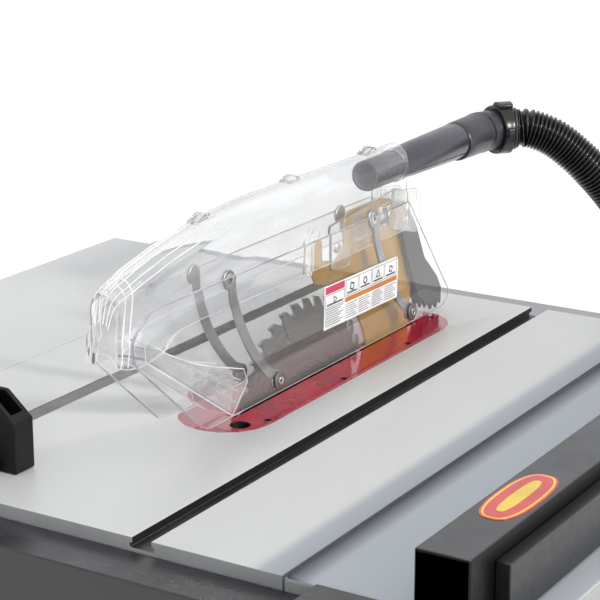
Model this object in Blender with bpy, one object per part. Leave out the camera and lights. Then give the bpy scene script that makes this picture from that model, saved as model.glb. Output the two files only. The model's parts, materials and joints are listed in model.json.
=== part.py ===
"""Left-tilting 10 inch cabinet table saw with a clear blade guard and dust hose.

Every length is in metres. The pieces are built around the saw's working datum:
X = 0 is the blade plane, Y = 0 the arbor axis with the blade upright, Z = 0 the
table top, +X the operator's right and +Y away from the operator. An empty then
carries the whole saw so that it stands on the floor, centred over the origin.
"""

import math

import bmesh
import bpy
from mathutils import Matrix, Vector

# ---------------------------------------------------------------- driving dimensions
TABLE_HEIGHT = 0.870
TABLE_LEFT, TABLE_RIGHT = -0.2697, 0.2390
TABLE_FRONT, TABLE_REAR = -0.4160, 0.3460
TABLE_THICK = 0.016
SKIRT_DEPTH, SKIRT_THICK = 0.038, 0.012
WING_WIDTH = 0.218
SLOT_WIDTH, SLOT_DEPTH = 0.01905, 0.0095
SLOT_CENTRES = (-0.1595, 0.10415)
SLOT_UNDERCUT, UNDERCUT_HEIGHT = 0.0025, 0.0040

BLADE_RADIUS, BLADE_THICK, TOOTH_COUNT = 0.127, 0.0030, 36
ARBOR_DEPTH = 0.0444
ARBOR_RADIUS = 0.0079
LIFT_TRAVEL = 0.083
SCREW_LEAD = 0.008
TILT_X = -0.0142
WORM_LEAD = 0.010

INSERT_HALF = 0.0475
INSERT_FRONT, INSERT_REAR = -0.179, 0.268
INSERT_THICK = 0.012

HOOD_HALF, HOOD_WALL = 0.0184, 0.0022
LINK_IN, LINK_OUT = 0.0188, 0.0221
PANEL_IN, PANEL_OUT = 0.0225, 0.0255
LINK_TOP, LINK_FOOT = (-0.159, 0.1443), (-0.079, 0.0245)
LINK_SPAN = 0.268
NOZZLE_HEIGHT, NOZZLE_END = 0.1825, 0.3285
KNIFE_HALF = 0.00115
PAWL_PIN = (0.198, 0.124)

CABINET_LEFT, CABINET_RIGHT = -0.262, 0.232
CABINET_FRONT, CABINET_REAR = -0.285, 0.300
CABINET_WALL = 0.003
PLINTH_HEIGHT = 0.090

RAIL_LEFT, RAIL_RIGHT = -0.500, 0.947
REAR_RAIL_LEFT = -0.456
FENCE_X = 0.394
FENCE_HALF = 0.023
MITRE_X = SLOT_CENTRES[0]

HOSE_RADIUS = 0.0225
GAP = 0.0003

FRONT_MOST, REAR_MOST = -0.5397, 0.3963
ORIGIN = Vector((-(RAIL_LEFT + RAIL_RIGHT) / 2, -(FRONT_MOST + REAR_MOST) / 2, TABLE_HEIGHT))

for old in list(bpy.data.objects):
    bpy.data.objects.remove(old, do_unlink=True)

SAW = bpy.data.objects.new("saw_datum", None)
SAW.location = ORIGIN
bpy.context.scene.collection.objects.link(SAW)


# ---------------------------------------------------------------- materials
def material(name, color, roughness, metallic=0.0, alpha=1.0):
    mat = bpy.data.materials.new(name)
    mat.use_nodes = True
    shader = mat.node_tree.nodes["Principled BSDF"]
    shader.inputs["Base Color"].default_value = (*color, 1)
    shader.inputs["Roughness"].default_value = roughness
    shader.inputs["Metallic"].default_value = metallic
    shader.inputs["Alpha"].default_value = alpha
    return mat


CAST_IRON = material("cast_iron_top", (0.70, 0.71, 0.72), 0.35, 0.9)
PAINT = material("cabinet_paint", (0.80, 0.80, 0.78), 0.40)
BLACK_PAINT = material("black_paint", (0.02, 0.02, 0.022), 0.35)
GREY_CAST = material("grey_casting", (0.30, 0.31, 0.32), 0.60, 0.2)
STEEL = material("machined_steel", (0.60, 0.60, 0.60), 0.30, 1.0)
BLADE_STEEL = material("blade_steel", (0.42, 0.42, 0.43), 0.35, 1.0)
RED = material("red_insert", (0.62, 0.02, 0.06), 0.20)
CLEAR = material("clear_guard", (0.93, 0.94, 0.96), 0.05, 0.0, 0.3)
YELLOW = material("yellow_knife", (0.78, 0.52, 0.10), 0.40, 0.3)
LINK_GREY = material("link_grey", (0.38, 0.38, 0.40), 0.45, 0.3)
DARK_STEEL = material("dark_steel", (0.08, 0.08, 0.09), 0.45, 0.6)
BLACK_PLASTIC = material("black_plastic", (0.02, 0.02, 0.02), 0.45)
TUBE_GREY = material("tube_grey", (0.10, 0.10, 0.12), 0.35)
HOSE_BLACK = material("hose_black", (0.015, 0.015, 0.018), 0.45)
RUBBER = material("belt_rubber", (0.02, 0.02, 0.02), 0.80)
BOARD = material("fence_board", (0.030, 0.030, 0.032), 0.45)
STOP_RED = material("stop_red", (0.70, 0.03, 0.03), 0.35)
START_GREEN = material("start_green", (0.04, 0.45, 0.10), 0.35)


# ---------------------------------------------------------------- modelling tools
AXES = {
    "X": Matrix(((0, 0, 1), (1, 0, 0), (0, 1, 0))),
    "Y": Matrix(((1, 0, 0), (0, 0, 1), (0, 1, 0))),
    "Z": Matrix(((1, 0, 0), (0, 1, 0), (0, 0, 1))),
}


def new_object(name, verts, faces, mat, smooth=False):
    mesh = bpy.data.meshes.new(name)
    mesh.from_pydata([tuple(v) for v in verts], [], faces)
    form = bmesh.new()
    form.from_mesh(mesh)
    bmesh.ops.recalc_face_normals(form, faces=form.faces)
    form.to_mesh(mesh)
    form.free()
    obj = bpy.data.objects.new(name, mesh)
    bpy.context.scene.collection.objects.link(obj)
    obj.parent = SAW
    if mat:
        mesh.materials.append(mat)
    if smooth:
        mesh.shade_smooth()
        mesh.set_sharp_from_angle(angle=math.radians(35))
    return obj


def signed_area(outline):
    pairs = zip(outline, outline[1:] + outline[:1])
    return sum(a[0] * b[1] - b[0] * a[1] for a, b in pairs) / 2


def prism(name, outline, axis, low, high, mat=None, smooth=False):
    """Extrudes an outline along X (points are Y, Z), Y (points are X, Z) or Z (points are X, Y)."""
    outline = [tuple(p) for p in outline]
    turns_left = signed_area(outline) > 0
    if turns_left == (axis == "Y"):
        outline.reverse()
    count = len(outline)
    to_world = AXES[axis]
    verts = [to_world @ Vector((a, b, low)) for a, b in outline]
    verts += [to_world @ Vector((a, b, high)) for a, b in outline]
    faces = [tuple(reversed(range(count))), tuple(range(count, 2 * count))]
    faces += [(i, (i + 1) % count, count + (i + 1) % count, count + i) for i in range(count)]
    return new_object(name, verts, faces, mat, smooth)


def box(name, low, high, mat=None):
    (x0, y0, z0), (x1, y1, z1) = low, high
    return prism(name, [(x0, y0), (x1, y0), (x1, y1), (x0, y1)], "Z", z0, z1, mat)


def circle(center, radius, sides=24, start=0.0):
    turn = 2 * math.pi / sides
    return [
        (
            center[0] + radius * math.cos(start + i * turn),
            center[1] + radius * math.sin(start + i * turn),
        )
        for i in range(sides)
    ]


def arc(center, radius, from_deg, to_deg, steps):
    angles = [math.radians(from_deg + (to_deg - from_deg) * i / steps) for i in range(steps + 1)]
    return [(center[0] + radius * math.cos(a), center[1] + radius * math.sin(a)) for a in angles]


def cylinder(name, axis, center, radius, low, high, mat=None, sides=24):
    return prism(name, circle(center, radius, sides), axis, low, high, mat, True)


def turned(name, axis, center, profile, mat, sides=32):
    """A closed solid of revolution from (radius, distance along the axis) pairs."""
    to_world = AXES[axis]
    verts, faces, rings = [], [], []
    for radius, along in profile:
        if radius <= 0:
            rings.append([len(verts)])
            verts.append(to_world @ Vector((center[0], center[1], along)))
            continue
        rings.append(list(range(len(verts), len(verts) + sides)))
        verts += [to_world @ Vector((a, b, along)) for a, b in circle(center, radius, sides)]
    for lower, upper in zip(rings, rings[1:]):
        for i in range(sides):
            j = (i + 1) % sides
            if len(lower) == 1:
                faces.append((lower[0], upper[j], upper[i]))
            elif len(upper) == 1:
                faces.append((lower[i], lower[j], upper[0]))
            else:
                faces.append((lower[i], lower[j], upper[j], upper[i]))
    if len(rings[0]) > 1:
        faces.insert(0, tuple(reversed(rings[0])))
    if len(rings[-1]) > 1:
        faces.append(tuple(rings[-1]))
    if axis == "Y":
        faces = [tuple(reversed(f)) for f in faces]
    return new_object(name, verts, faces, mat, True)


def rounded(corners, steps=4):
    """An outline from (a, b, radius) corners, each rounded by an arc of that radius."""
    out = []
    for i, (a, b, radius) in enumerate(corners):
        here = Vector((a, b))
        before = (Vector(corners[i - 1][:2]) - here).normalized()
        after = (Vector(corners[(i + 1) % len(corners)][:2]) - here).normalized()
        if radius <= 0:
            out.append((a, b))
            continue
        half = before.angle(after) / 2
        middle = here + (before + after).normalized() * radius / math.sin(half)
        first = here + before * radius / math.tan(half) - middle
        last = here + after * radius / math.tan(half) - middle
        sweep = first.angle_signed(last)
        for k in range(steps + 1):
            spoke = first.copy()
            spoke.rotate(Matrix.Rotation(-sweep * k / steps, 2))
            out.append(tuple(middle + spoke))
    return out


def stadium(half, front, rear, steps=8, center=0.0):
    """A long hole outline in X, Y with round ends."""
    near = arc((center, front + half), half, 180, 360, steps)
    far = arc((center, rear - half), half, 0, 180, steps)
    return near + far


def boolean(obj, other, operation):
    other.hide_render = True
    other.display_type = "WIRE"
    other.name = "helper_" + other.name
    change = obj.modifiers.new(operation.lower(), "BOOLEAN")
    change.operation = operation
    change.object = other
    return obj


def cut(obj, *cutters):
    for cutter in cutters:
        boolean(obj, cutter, "DIFFERENCE")
    return obj


def weld(obj, *others):
    for other in others:
        boolean(obj, other, "UNION")
    return obj


def pivot(obj, x, y, z):
    """Moves the object's origin to the joint axis and leaves its shape where it is."""
    obj.data.transform(Matrix.Translation((-x, -y, -z)))
    obj.location = (x, y, z)
    return obj


# ---------------------------------------------------------------- table and wings
def table_top():
    outline = [(TABLE_LEFT, TABLE_FRONT), (TABLE_RIGHT, TABLE_FRONT), (TABLE_RIGHT, TABLE_REAR),
        (TABLE_LEFT, TABLE_REAR)]
    top = prism("table_top", outline, "Z", -SKIRT_DEPTH, 0, CAST_IRON)
    cut(
        top,
        box(
            "table_hollow",
            (TABLE_LEFT + SKIRT_THICK, TABLE_FRONT + SKIRT_THICK, -0.05),
            (TABLE_RIGHT - SKIRT_THICK, TABLE_REAR - SKIRT_THICK, -TABLE_THICK),
        ),
        prism(
            "insert_recess",
            stadium(INSERT_HALF + GAP, INSERT_FRONT - GAP, INSERT_REAR + GAP),
            "Z",
            -INSERT_THICK - GAP,
            0.01,
        ),
        prism(
            "throat",
            stadium(INSERT_HALF - 0.004, INSERT_FRONT + 0.004, INSERT_REAR - 0.004),
            "Z",
            -0.03,
            0.01,
        ),
    )
    for side, center in zip(("left", "right"), SLOT_CENTRES):
        cut(
            top,
            box(
                side + "_slot",
                (center - SLOT_WIDTH / 2, TABLE_FRONT - 0.01, -SLOT_DEPTH),
                (center + SLOT_WIDTH / 2, TABLE_REAR + 0.01, 0.01),
            ),
            box(
                side + "_slot_undercut",
                (center - SLOT_WIDTH / 2 - SLOT_UNDERCUT, TABLE_FRONT - 0.01, -SLOT_DEPTH),
                (center + SLOT_WIDTH / 2 + SLOT_UNDERCUT, TABLE_REAR + 0.01, -SLOT_DEPTH + UNDERCUT_HEIGHT),
            ),
        )
    return top


def wing(name, low, high):
    slab = box(name, (low, TABLE_FRONT, -SKIRT_DEPTH), (high, TABLE_REAR, 0), CAST_IRON)
    middle = (low + high) / 2
    for i in range(2):
        left, right = (low + SKIRT_THICK, middle - 0.004) if i == 0 else (middle + 0.004, high - SKIRT_THICK)
        cut(
            slab,
            box(
                f"{name}_hollow_{i}",
                (left, TABLE_FRONT + SKIRT_THICK, -0.05),
                (right, TABLE_REAR - SKIRT_THICK, -0.008),
            ),
        )
    return slab


def rails():
    front_y, rear_y = TABLE_FRONT - GAP, TABLE_REAR + GAP
    rail = box("front_rail", (RAIL_LEFT, front_y - 0.050, -0.072), (RAIL_RIGHT, front_y, -0.012), BLACK_PAINT)
    cut(rail, box("front_rail_bore", (RAIL_LEFT - 0.01, front_y - 0.047, -0.069),
        (RAIL_RIGHT + 0.01, front_y - 0.003, -0.015)))
    top, thick, shelf = -0.0105, 0.004, 0.050
    angle = [(rear_y, top), (rear_y + shelf, top), (rear_y + shelf, top - thick),
        (rear_y + thick, top - thick),
             (rear_y + thick, -0.064), (rear_y, -0.064)]
    prism("rear_rail", angle, "X", REAR_RAIL_LEFT, RAIL_RIGHT, GREY_CAST)


# ---------------------------------------------------------------- rip fence
def fence():
    left, right = FENCE_X - FENCE_HALF, FENCE_X + FENCE_HALF
    front, rear = TABLE_FRONT - 0.030, TABLE_REAR + 0.030
    beam = box("fence_beam", (left, front, 0.004), (right, rear, 0.065), BLACK_PAINT)
    cut(beam, box("fence_bore", (left + 0.003, front - 0.01, 0.007), (right - 0.003, rear + 0.01, 0.062)))
    for name, low, high in (
        ("fence_left_face", left - GAP - 0.0127, left - GAP),
        ("fence_right_face", right + GAP, right + GAP + 0.0127),
    ):
        box(name, (low, TABLE_FRONT + 0.010, 0.002), (high, TABLE_REAR - 0.010, 0.050), BOARD)
    head_y = TABLE_FRONT - 0.0505 - GAP
    half = 0.120
    outline = [(head_y - 0.020, -0.066), (head_y, -0.066), (head_y, -0.0115), (TABLE_FRONT - 0.006, -0.0115),
               (TABLE_FRONT - 0.006, 0.0037), (head_y - 0.020, 0.0037)]
    head = prism("fence_head", outline, "X", FENCE_X - half, FENCE_X + half, BLACK_PAINT)
    hinge_y, hinge_z = head_y - 0.0425, -0.020
    for side in (-1, 1):
        low, high = sorted((FENCE_X + side * 0.0225, FENCE_X + side * 0.0285))
        weld(head, box(f"lever_ear_{side}", (low, hinge_y - 0.008, hinge_z - 0.010),
            (high, head_y - 0.010, hinge_z + 0.012)))
    weld(head, cylinder("lever_pin", "X", (hinge_y, hinge_z), 0.003, FENCE_X - 0.027, FENCE_X + 0.027, None,
        16))
    grip = rounded(
        [(hinge_y + 0.015, hinge_z - 0.015, 0.006), (hinge_y + 0.015, hinge_z + 0.012, 0.010),
         (hinge_y - 0.010, hinge_z + 0.012, 0.006), (hinge_y - 0.030, hinge_z - 0.070, 0.006),
         (hinge_y - 0.014, hinge_z - 0.078, 0.006)]
    )
    lever = prism("fence_handle", grip, "X", FENCE_X - 0.022, FENCE_X + 0.022, BLACK_PLASTIC, True)
    cut(lever, cylinder("lever_eye", "X", (hinge_y, hinge_z), 0.0033, FENCE_X - 0.03, FENCE_X + 0.03, None,
        16))
    pivot(lever, FENCE_X, hinge_y, hinge_z)


# ---------------------------------------------------------------- throat insert and blade
def insert_plate():
    plate = prism("insert_plate", stadium(INSERT_HALF, INSERT_FRONT, INSERT_REAR), "Z", -INSERT_THICK, 0, RED)
    slot = [(-0.0045, 0.01), (-0.0045, -0.02), (0.036, -0.02), (0.0095, 0.0005), (0.0095, 0.01)]
    cut(
        plate,
        prism("blade_slot", slot, "Y", -0.133, 0.236),
        box("nut_relief", (0, -0.030, -0.02), (0.0415, 0.030, -0.0012)),
        prism("finger_hole", circle((0.025, -0.148), 0.010, 20), "Z", -0.02, 0.01),
    )
    return plate


def polar(center, radius, degrees):
    angle = math.radians(degrees)
    return (center[0] + radius * math.cos(angle), center[1] + radius * math.sin(angle))


def blade():
    pitch = 360 / TOOTH_COUNT
    center = (0, -ARBOR_DEPTH)
    outline = []
    for i in range(TOOTH_COUNT):
        tip = 101.2 + pitch * i
        outline.append(polar(center, BLADE_RADIUS - 0.008, tip - 8.5))
        outline.append(polar(center, BLADE_RADIUS - 0.002, tip - 3.0))
        outline.append(polar(center, BLADE_RADIUS, tip))
        outline.append(polar(center, BLADE_RADIUS - 0.009, tip + 0.3))
    disc = prism("blade", outline, "X", -BLADE_THICK / 2, BLADE_THICK / 2, BLADE_STEEL)
    cut(disc, prism("blade_bore", circle(center, ARBOR_RADIUS + GAP), "X", -0.01, 0.01))
    pivot(disc, 0, 0, -ARBOR_DEPTH)


def ring(name, axis, center, outer, inner, low, high, mat, sides=20):
    body = cylinder(name, axis, center, outer, low, high, mat, sides)
    return cut(body, cylinder(name + "_bore", axis, center, inner, low - 0.01, high + 0.01, None, sides))


def arbor():
    center = (0, -ARBOR_DEPTH)
    half = BLADE_THICK / 2
    shaft = cylinder("arbor_shaft", "X", center, ARBOR_RADIUS, -0.104, half + 0.0125, STEEL)
    weld(shaft, cylinder("inner_flange", "X", center, 0.024, -half - 0.009, -half - GAP))
    pivot(shaft, 0, 0, -ARBOR_DEPTH)
    bore = ARBOR_RADIUS + GAP
    pieces = (
        ("outer_flange", 0.022, half + GAP, half + 0.0035, STEEL),
        ("arbor_pulley", ARBOR_PULLEY_R, -0.098, -0.080, STEEL),
        ("left_bearing", 0.0175, -0.074, -0.062, STEEL),
        ("right_bearing", 0.0175, -0.028, -0.016, STEEL),
    )
    for name, radius, low, high, mat in pieces:
        pivot(ring(name, "X", center, radius, bore, low, high, mat), 0, 0, -ARBOR_DEPTH)
    nut = prism("arbor_nut", circle(center, 0.0115, 6), "X", half + 0.0038, half + 0.0115, STEEL)
    cut(nut, cylinder("arbor_nut_bore", "X", center, bore, 0, 0.03))
    pivot(nut, 0, 0, -ARBOR_DEPTH)


# ---------------------------------------------------------------- lift carriage, motor and belt
MOTOR_AXIS = (0.120, -0.170)
ARBOR_PULLEY_R, MOTOR_PULLEY_R = 0.020, 0.025
BELT_THICK = 0.004
POSTS = ((-0.045, -0.085), (-0.045, 0.075))
SCREW = (-0.045, -0.045)
BEVEL_Z = -0.330


def carriage():
    center = (0, -ARBOR_DEPTH)
    body = cylinder("carriage", "X", center, 0.026, -0.076, -0.013, GREY_CAST, 32)
    web = rounded([(-0.105, -0.150, 0.008), (-0.105, -0.078, 0.008), (-0.030, -0.060, 0.01),
        (0.030, -0.050, 0.01),
                   (0.160, -0.080, 0.02), (0.190, -0.150, 0.02), (0.190, -0.2145, 0.006),
                   (0.060, -0.2145, 0.006),
                   (0.040, -0.150, 0.01)])
    weld(
        body,
        prism("carriage_web", web, "X", -0.062, -0.030),
    )
    motor_hole = cylinder("motor_shaft_hole", "X", MOTOR_AXIS, 0.018, -0.1, 0.0)
    cut(
        body,
        cylinder("arbor_bore", "X", center, 0.0178, -0.09, 0.0),
        motor_hole,
        cylinder("screw_bore", "Z", SCREW, 0.0083, -0.3, 0.1),
        *[cylinder(f"post_bore_{i}", "Z", p, 0.0103, -0.3, 0.1) for i, p in enumerate(POSTS)],
    )
    return body


def motor():
    low, high = -0.240, -0.104
    body = turned(
        "motor",
        "X",
        MOTOR_AXIS,
        [(0.050, low), (0.066, low + 0.008), (0.066, low + 0.034), (0.072, low + 0.036),
        (0.072, high - 0.012),
         (0.055, high), (0.0, high)],
        GREY_CAST,
        28,
    )
    feet = box("motor_foot", (-0.200, 0.075, -0.2145), (-0.0623, 0.165, -0.2085))
    weld(body, feet)
    return body


def pulleys_and_belt():
    shaft = cylinder("motor_pulley", "X", MOTOR_AXIS, MOTOR_PULLEY_R, -0.098, -0.080, STEEL, 28)
    stub = cylinder("motor_stub", "X", MOTOR_AXIS, 0.010, -0.1037, -0.060)
    weld(shaft, stub)
    pivot(shaft, 0, *MOTOR_AXIS)
    (ay, az), (my, mz) = (0, -ARBOR_DEPTH), MOTOR_AXIS
    arbor_r, motor_r = ARBOR_PULLEY_R + GAP, MOTOR_PULLEY_R + GAP
    heading = math.degrees(math.atan2(mz - az, my - ay))
    lean = math.degrees(math.asin((motor_r - arbor_r) / math.hypot(my - ay, mz - az)))

    def loop(extra):
        near = arc((ay, az), arbor_r + extra, heading + 90 + lean, heading + 270 - lean, 12)
        far = arc((my, mz), motor_r + extra, heading - 90 - lean, heading + 90 + lean, 12)
        return near + far

    belt = prism("drive_belt", loop(BELT_THICK), "X", -0.096, -0.082, RUBBER, True)
    cut(belt, prism("belt_inside", loop(0), "X", -0.11, -0.07))


# ---------------------------------------------------------------- tilt cradle and trunnions
TRUNNION_R = 0.118
CRADLE_FRONT, CRADLE_REAR = -0.160, 0.236
PLATE = 0.012
FLOOR_TOP, FLOOR_BOTTOM = -0.302, -0.312
WORM_WHEEL_R, WORM_WHEEL_Y = 0.318, 0.006


def ring_sector(inner, outer, from_deg, to_deg, steps=16):
    center = (TILT_X, 0)
    return arc(center, outer, from_deg, to_deg, steps) + arc(center, inner, to_deg, from_deg, steps)


def cradle():
    """The casting that tilts: half-moons in the trunnions, plates, floor, guide posts, worm segment."""
    sector = ring_sector(0.075, TRUNNION_R, -160, -66)
    front_in, rear_in = CRADLE_FRONT + PLATE + 0.0005, CRADLE_REAR - PLATE - 0.0005
    left, right = -0.070, -0.016
    drop = [(-0.130, -0.085), (left - 0.03, FLOOR_BOTTOM), (right, FLOOR_BOTTOM), (right, -0.090)]
    rear_drop = [(-0.100, -0.085), (left, FLOOR_BOTTOM), (right, FLOOR_BOTTOM), (right, -0.090)]
    body = prism("tilt_cradle", sector, "Y", CRADLE_FRONT, CRADLE_FRONT + 2 * PLATE, GREY_CAST)
    segment = ring_sector(0.304, WORM_WHEEL_R, -139, -86, 18)
    weld(
        body,
        prism("front_drop", drop, "Y", front_in, CRADLE_FRONT + 2 * PLATE - 0.0005),
        prism("rear_sector", ring_sector(0.075, TRUNNION_R, -160, -88), "Y", CRADLE_REAR - 2 * PLATE,
        CRADLE_REAR),
        prism("rear_drop", rear_drop, "Y", CRADLE_REAR - 2 * PLATE + 0.0005, rear_in),
        box("cradle_floor", (left, front_in + 0.002, FLOOR_BOTTOM), (right, rear_in - 0.002, FLOOR_TOP)),
        prism("worm_wheel", segment, "Y", WORM_WHEEL_Y - 0.006, WORM_WHEEL_Y + 0.006),
        *[cylinder(f"guide_post_{i}", "Z", p, 0.010, FLOOR_TOP - 0.004, -0.062, None, 20) for i,
        p in enumerate(POSTS)],
    )
    return cut(body, cylinder("screw_seat", "Z", SCREW, 0.0083, -0.33, -0.27, None, 16))


def trunnion(name, low):
    band = ring_sector(TRUNNION_R + GAP, TRUNNION_R + 0.018, -160, -20, 20)
    body = prism(name, band, "Y", low, low + PLATE, GREY_CAST)
    for side in (-1, 1):
        x = TILT_X + side * 0.130
        weld(body, box(f"{name}_pad_{side}", (x - 0.018, low - 0.02, -0.045),
            (x + 0.018, low + PLATE, -TABLE_THICK - GAP)))
    return body


# ---------------------------------------------------------------- lift screw, handwheels and worm
WHEEL_R = 0.085
WHEEL_FACE = CABINET_FRONT - 0.040
WORM_R = 0.0105
WORM_Z = -(WORM_WHEEL_R + GAP + WORM_R)
TILT_WHEEL_FACE = CABINET_RIGHT + 0.040


def miter_gear(name, axis, center, apex, toward):
    """A toothed 45 degree cone with its apex at `apex` on the axis, widening in the `toward` direction."""
    teeth = 12
    rows = []
    for reach in (0.0075, 0.0145):
        outline = []
        for i in range(teeth):
            at = 360 / teeth * i
            outline += [polar(center, reach * 0.88, at - 9), polar(center, reach, at - 4),
                        polar(center, reach, at + 4), polar(center, reach * 0.88, at + 9)]
        rows.append((apex + toward * (reach + GAP), outline))
    to_world = AXES[axis]
    count = 4 * teeth
    verts = [to_world @ Vector((a, b, along)) for along, outline in rows for a, b in outline]
    faces = [tuple(range(count)), tuple(range(count, 2 * count))]
    faces += [(i, (i + 1) % count, count + (i + 1) % count, count + i) for i in range(count)]
    return new_object(name, verts, faces, None)


def lift_screw():
    rod = cylinder("lift_screw", "Z", SCREW, 0.0072, BEVEL_Z + 0.0100, -0.085, STEEL, 16)
    collar = cylinder("screw_collar", "Z", SCREW, 0.0135, FLOOR_TOP + GAP, FLOOR_TOP + 0.008, None, 20)
    weld(rod, collar, miter_gear("screw_gear", "Z", SCREW, BEVEL_Z, 1))
    return pivot(rod, *SCREW, 0)


def handwheel(name, axis, center, face, back, outward):
    """A spoked wheel whose rim plane is at `face`, with its shaft running inwards to `back`."""
    reach = outward * 0.010
    low, high = sorted((face - reach, face + reach))
    rim = cylinder(name, axis, center, WHEEL_R, low, high, GREY_CAST, 40)
    cut(rim, cylinder(name + "_inside", axis, center, WHEEL_R - 0.014, low - 0.01, high + 0.01, None, 40))
    spokes = []
    for i in range(3):
        at = math.radians(90 + 120 * i)
        along, across = Vector((math.cos(at), math.sin(at))), Vector((-math.sin(at), math.cos(at)))
        here = Vector(center)
        corners = [here - across * 0.009, here + along * (WHEEL_R - 0.008) - across * 0.006,
                   here + along * (WHEEL_R - 0.008) + across * 0.006, here + across * 0.009]
        spokes.append(prism(f"{name}_spoke_{i}", corners, axis, low + 0.004, high - 0.004))
    hub = cylinder(name + "_hub", axis, center, 0.020, low, high, None, 24)
    shaft_low, shaft_high = sorted((face, back))
    shaft = cylinder(name + "_shaft", axis, center, 0.008, shaft_low, shaft_high, None, 16)
    weld(rim, *spokes, hub, shaft)
    return rim


def wheel_grip(name, axis, center, face, outward):
    """A freely turning crank knob on the wheel's rim."""
    base = face + outward * (0.010 + GAP)
    profile = [(0.007, 0.0), (0.010, 0.012), (0.0105, 0.036), (0.008, 0.050), (0.0, 0.052)]
    points = [(radius, base + outward * along) for radius, along in profile]
    if outward < 0:
        points = [(0.0, points[-1][1])] + list(reversed(points[:-1]))
    return turned(name, axis, center, points, BLACK_PLASTIC, 20)


def lift_wheel():
    center = (SCREW[0], BEVEL_Z)
    wheel = handwheel("lift_handwheel", "Y", center, WHEEL_FACE, SCREW[1] - 0.0100, -1)
    weld(wheel, miter_gear("wheel_gear", "Y", center, SCREW[1], -1))
    pivot(wheel, center[0], 0, center[1])
    grip_at = (center[0] + (WHEEL_R - 0.008), center[1])
    pivot(wheel_grip("lift_crank_knob", "Y", grip_at, WHEEL_FACE, -1), grip_at[0], 0, grip_at[1])


def tilt_wheel():
    center = (WORM_WHEEL_Y, WORM_Z)
    wheel = handwheel("tilt_handwheel", "X", center, TILT_WHEEL_FACE, -0.050, 1)
    weld(wheel, worm(center))
    pivot(wheel, 0, *center)
    grip_at = (center[0], center[1] + (WHEEL_R - 0.008))
    pivot(wheel_grip("tilt_crank_knob", "X", grip_at, TILT_WHEEL_FACE, 1), 0, *grip_at)


def worm(center):
    return cylinder("worm_body", "X", center, WORM_R, TILT_X - 0.030, TILT_X + 0.030, None, 20)


# ---------------------------------------------------------------- riving knife and guard
def knife():
    center = (0, -ARBOR_DEPTH)
    inner = arc(center, 0.138, 79, -26, 14)
    outline = [(0.016, 0.107), (0.0175, 0.133), (0.036, 0.136), (0.038, 0.112), (0.062, 0.108),
        (0.078, 0.120),
               (0.082, 0.145), (0.091, 0.153), (0.160, 0.153), (0.204, 0.142), (0.209, 0.118), (0.221, 0.069),
               (0.228, 0.042), (0.226, 0.010), (0.206, -0.060), (0.180, -0.105)] + list(reversed(inner))
    blade_guard = prism("riving_knife", outline, "X", -KNIFE_HALF, KNIFE_HALF, YELLOW)
    return weld(blade_guard, cylinder("pawl_pin", "X", PAWL_PIN, 0.003, -0.0105, 0.0105, None, 16))


def knife_clamp():
    block = box("knife_clamp", (-0.0115, 0.135, -0.150), (-KNIFE_HALF - GAP, 0.185, -0.060), STEEL)
    arm = box("knife_clamp_arm", (-0.0297, 0.145, -0.140), (-0.010, 0.175, -0.100))
    weld(block, arm)
    lever = box("knife_release_lever", (-0.020, 0.110, -0.052), (-0.012 - GAP, 0.190, -0.042), STOP_RED)
    stub = cylinder("release_pin", "X", (0.180, -0.047), 0.004, -0.016, -KNIFE_HALF - GAP, None, 16)
    weld(lever, stub)
    pivot(lever, 0, 0.180, -0.047)


HOOD_STATIONS = (
    (-0.326, 0.112, 0.150, 0.0110),
    (-0.318, 0.102, 0.172, 0.0150),
    (-0.300, 0.098, 0.181, 0.0170),
    (-0.272, 0.101, 0.187, HOOD_HALF),
    (-0.245, 0.114, 0.193, HOOD_HALF),
    (-0.205, 0.118, 0.200, HOOD_HALF),
    (-0.130, 0.118, 0.208, HOOD_HALF),
    (0.190, 0.117, 0.208, HOOD_HALF),
)


def arch(half, foot, crown, steps=8):
    spring = crown - half
    return [(half, foot)] + arc((0, spring), half, 0, 180, steps) + [(-half, foot)]


def loft(name, sections, mat):
    """Joins same-length outlines in X, Z, given with their Y from front to rear, into a closed solid."""
    verts, faces = [], []
    for y, outline in sections:
        verts += [(x, y, z) for x, z in outline]
    count = len(sections[0][1])
    for k in range(len(sections) - 1):
        for i in range(count):
            j = (i + 1) % count
            a, b = k * count, (k + 1) * count
            faces.append((a + j, a + i, b + i, b + j))
    faces.append(tuple(range(count)))
    faces.append(tuple(reversed(range((len(sections) - 1) * count, len(sections) * count))))
    faces = [tuple(reversed(f)) for f in faces]
    return new_object(name, verts, faces, mat, True)


def hood():
    outer = [(y, arch(half, foot, crown)) for y, foot, crown, half in HOOD_STATIONS]
    shell = loft("guard_hood", outer, CLEAR)
    wall = HOOD_WALL
    inner = []
    for y, foot, crown, half in HOOD_STATIONS[1:]:
        inner.append((y + wall, arch(half - wall, foot - 0.03, crown - wall)))
    inner[-1] = (HOOD_STATIONS[-1][0] - wall, inner[-1][1])
    ring_low = HOOD_STATIONS[-1][0] - 0.001
    collar = cylinder("nozzle_collar", "Y", (0, NOZZLE_HEIGHT), 0.0205, ring_low - 0.010, ring_low + 0.016)
    weld(shell, collar)
    cut(
        shell,
        loft("hood_hollow", inner, None),
        cylinder("nozzle_bore", "Y", (0, NOZZLE_HEIGHT), 0.0165, 0.170, 0.25),
        box("knife_gap", (-0.008, 0.150, 0.05), (0.008, 0.25, 0.158)),
    )
    return shell


def nozzle():
    body = turned("dust_nozzle", "Y", (0, NOZZLE_HEIGHT),
                  [(0.0160, 0.128), (0.0160, 0.207), (0.0183, 0.2085), (0.0204, NOZZLE_END)], TUBE_GREY, 28)
    cut(body, turned("nozzle_inside", "Y", (0, NOZZLE_HEIGHT),
        [(0.0138, 0.120), (0.0138, 0.208), (0.0180, 0.335)],
                     None, 28))
    return body


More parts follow.
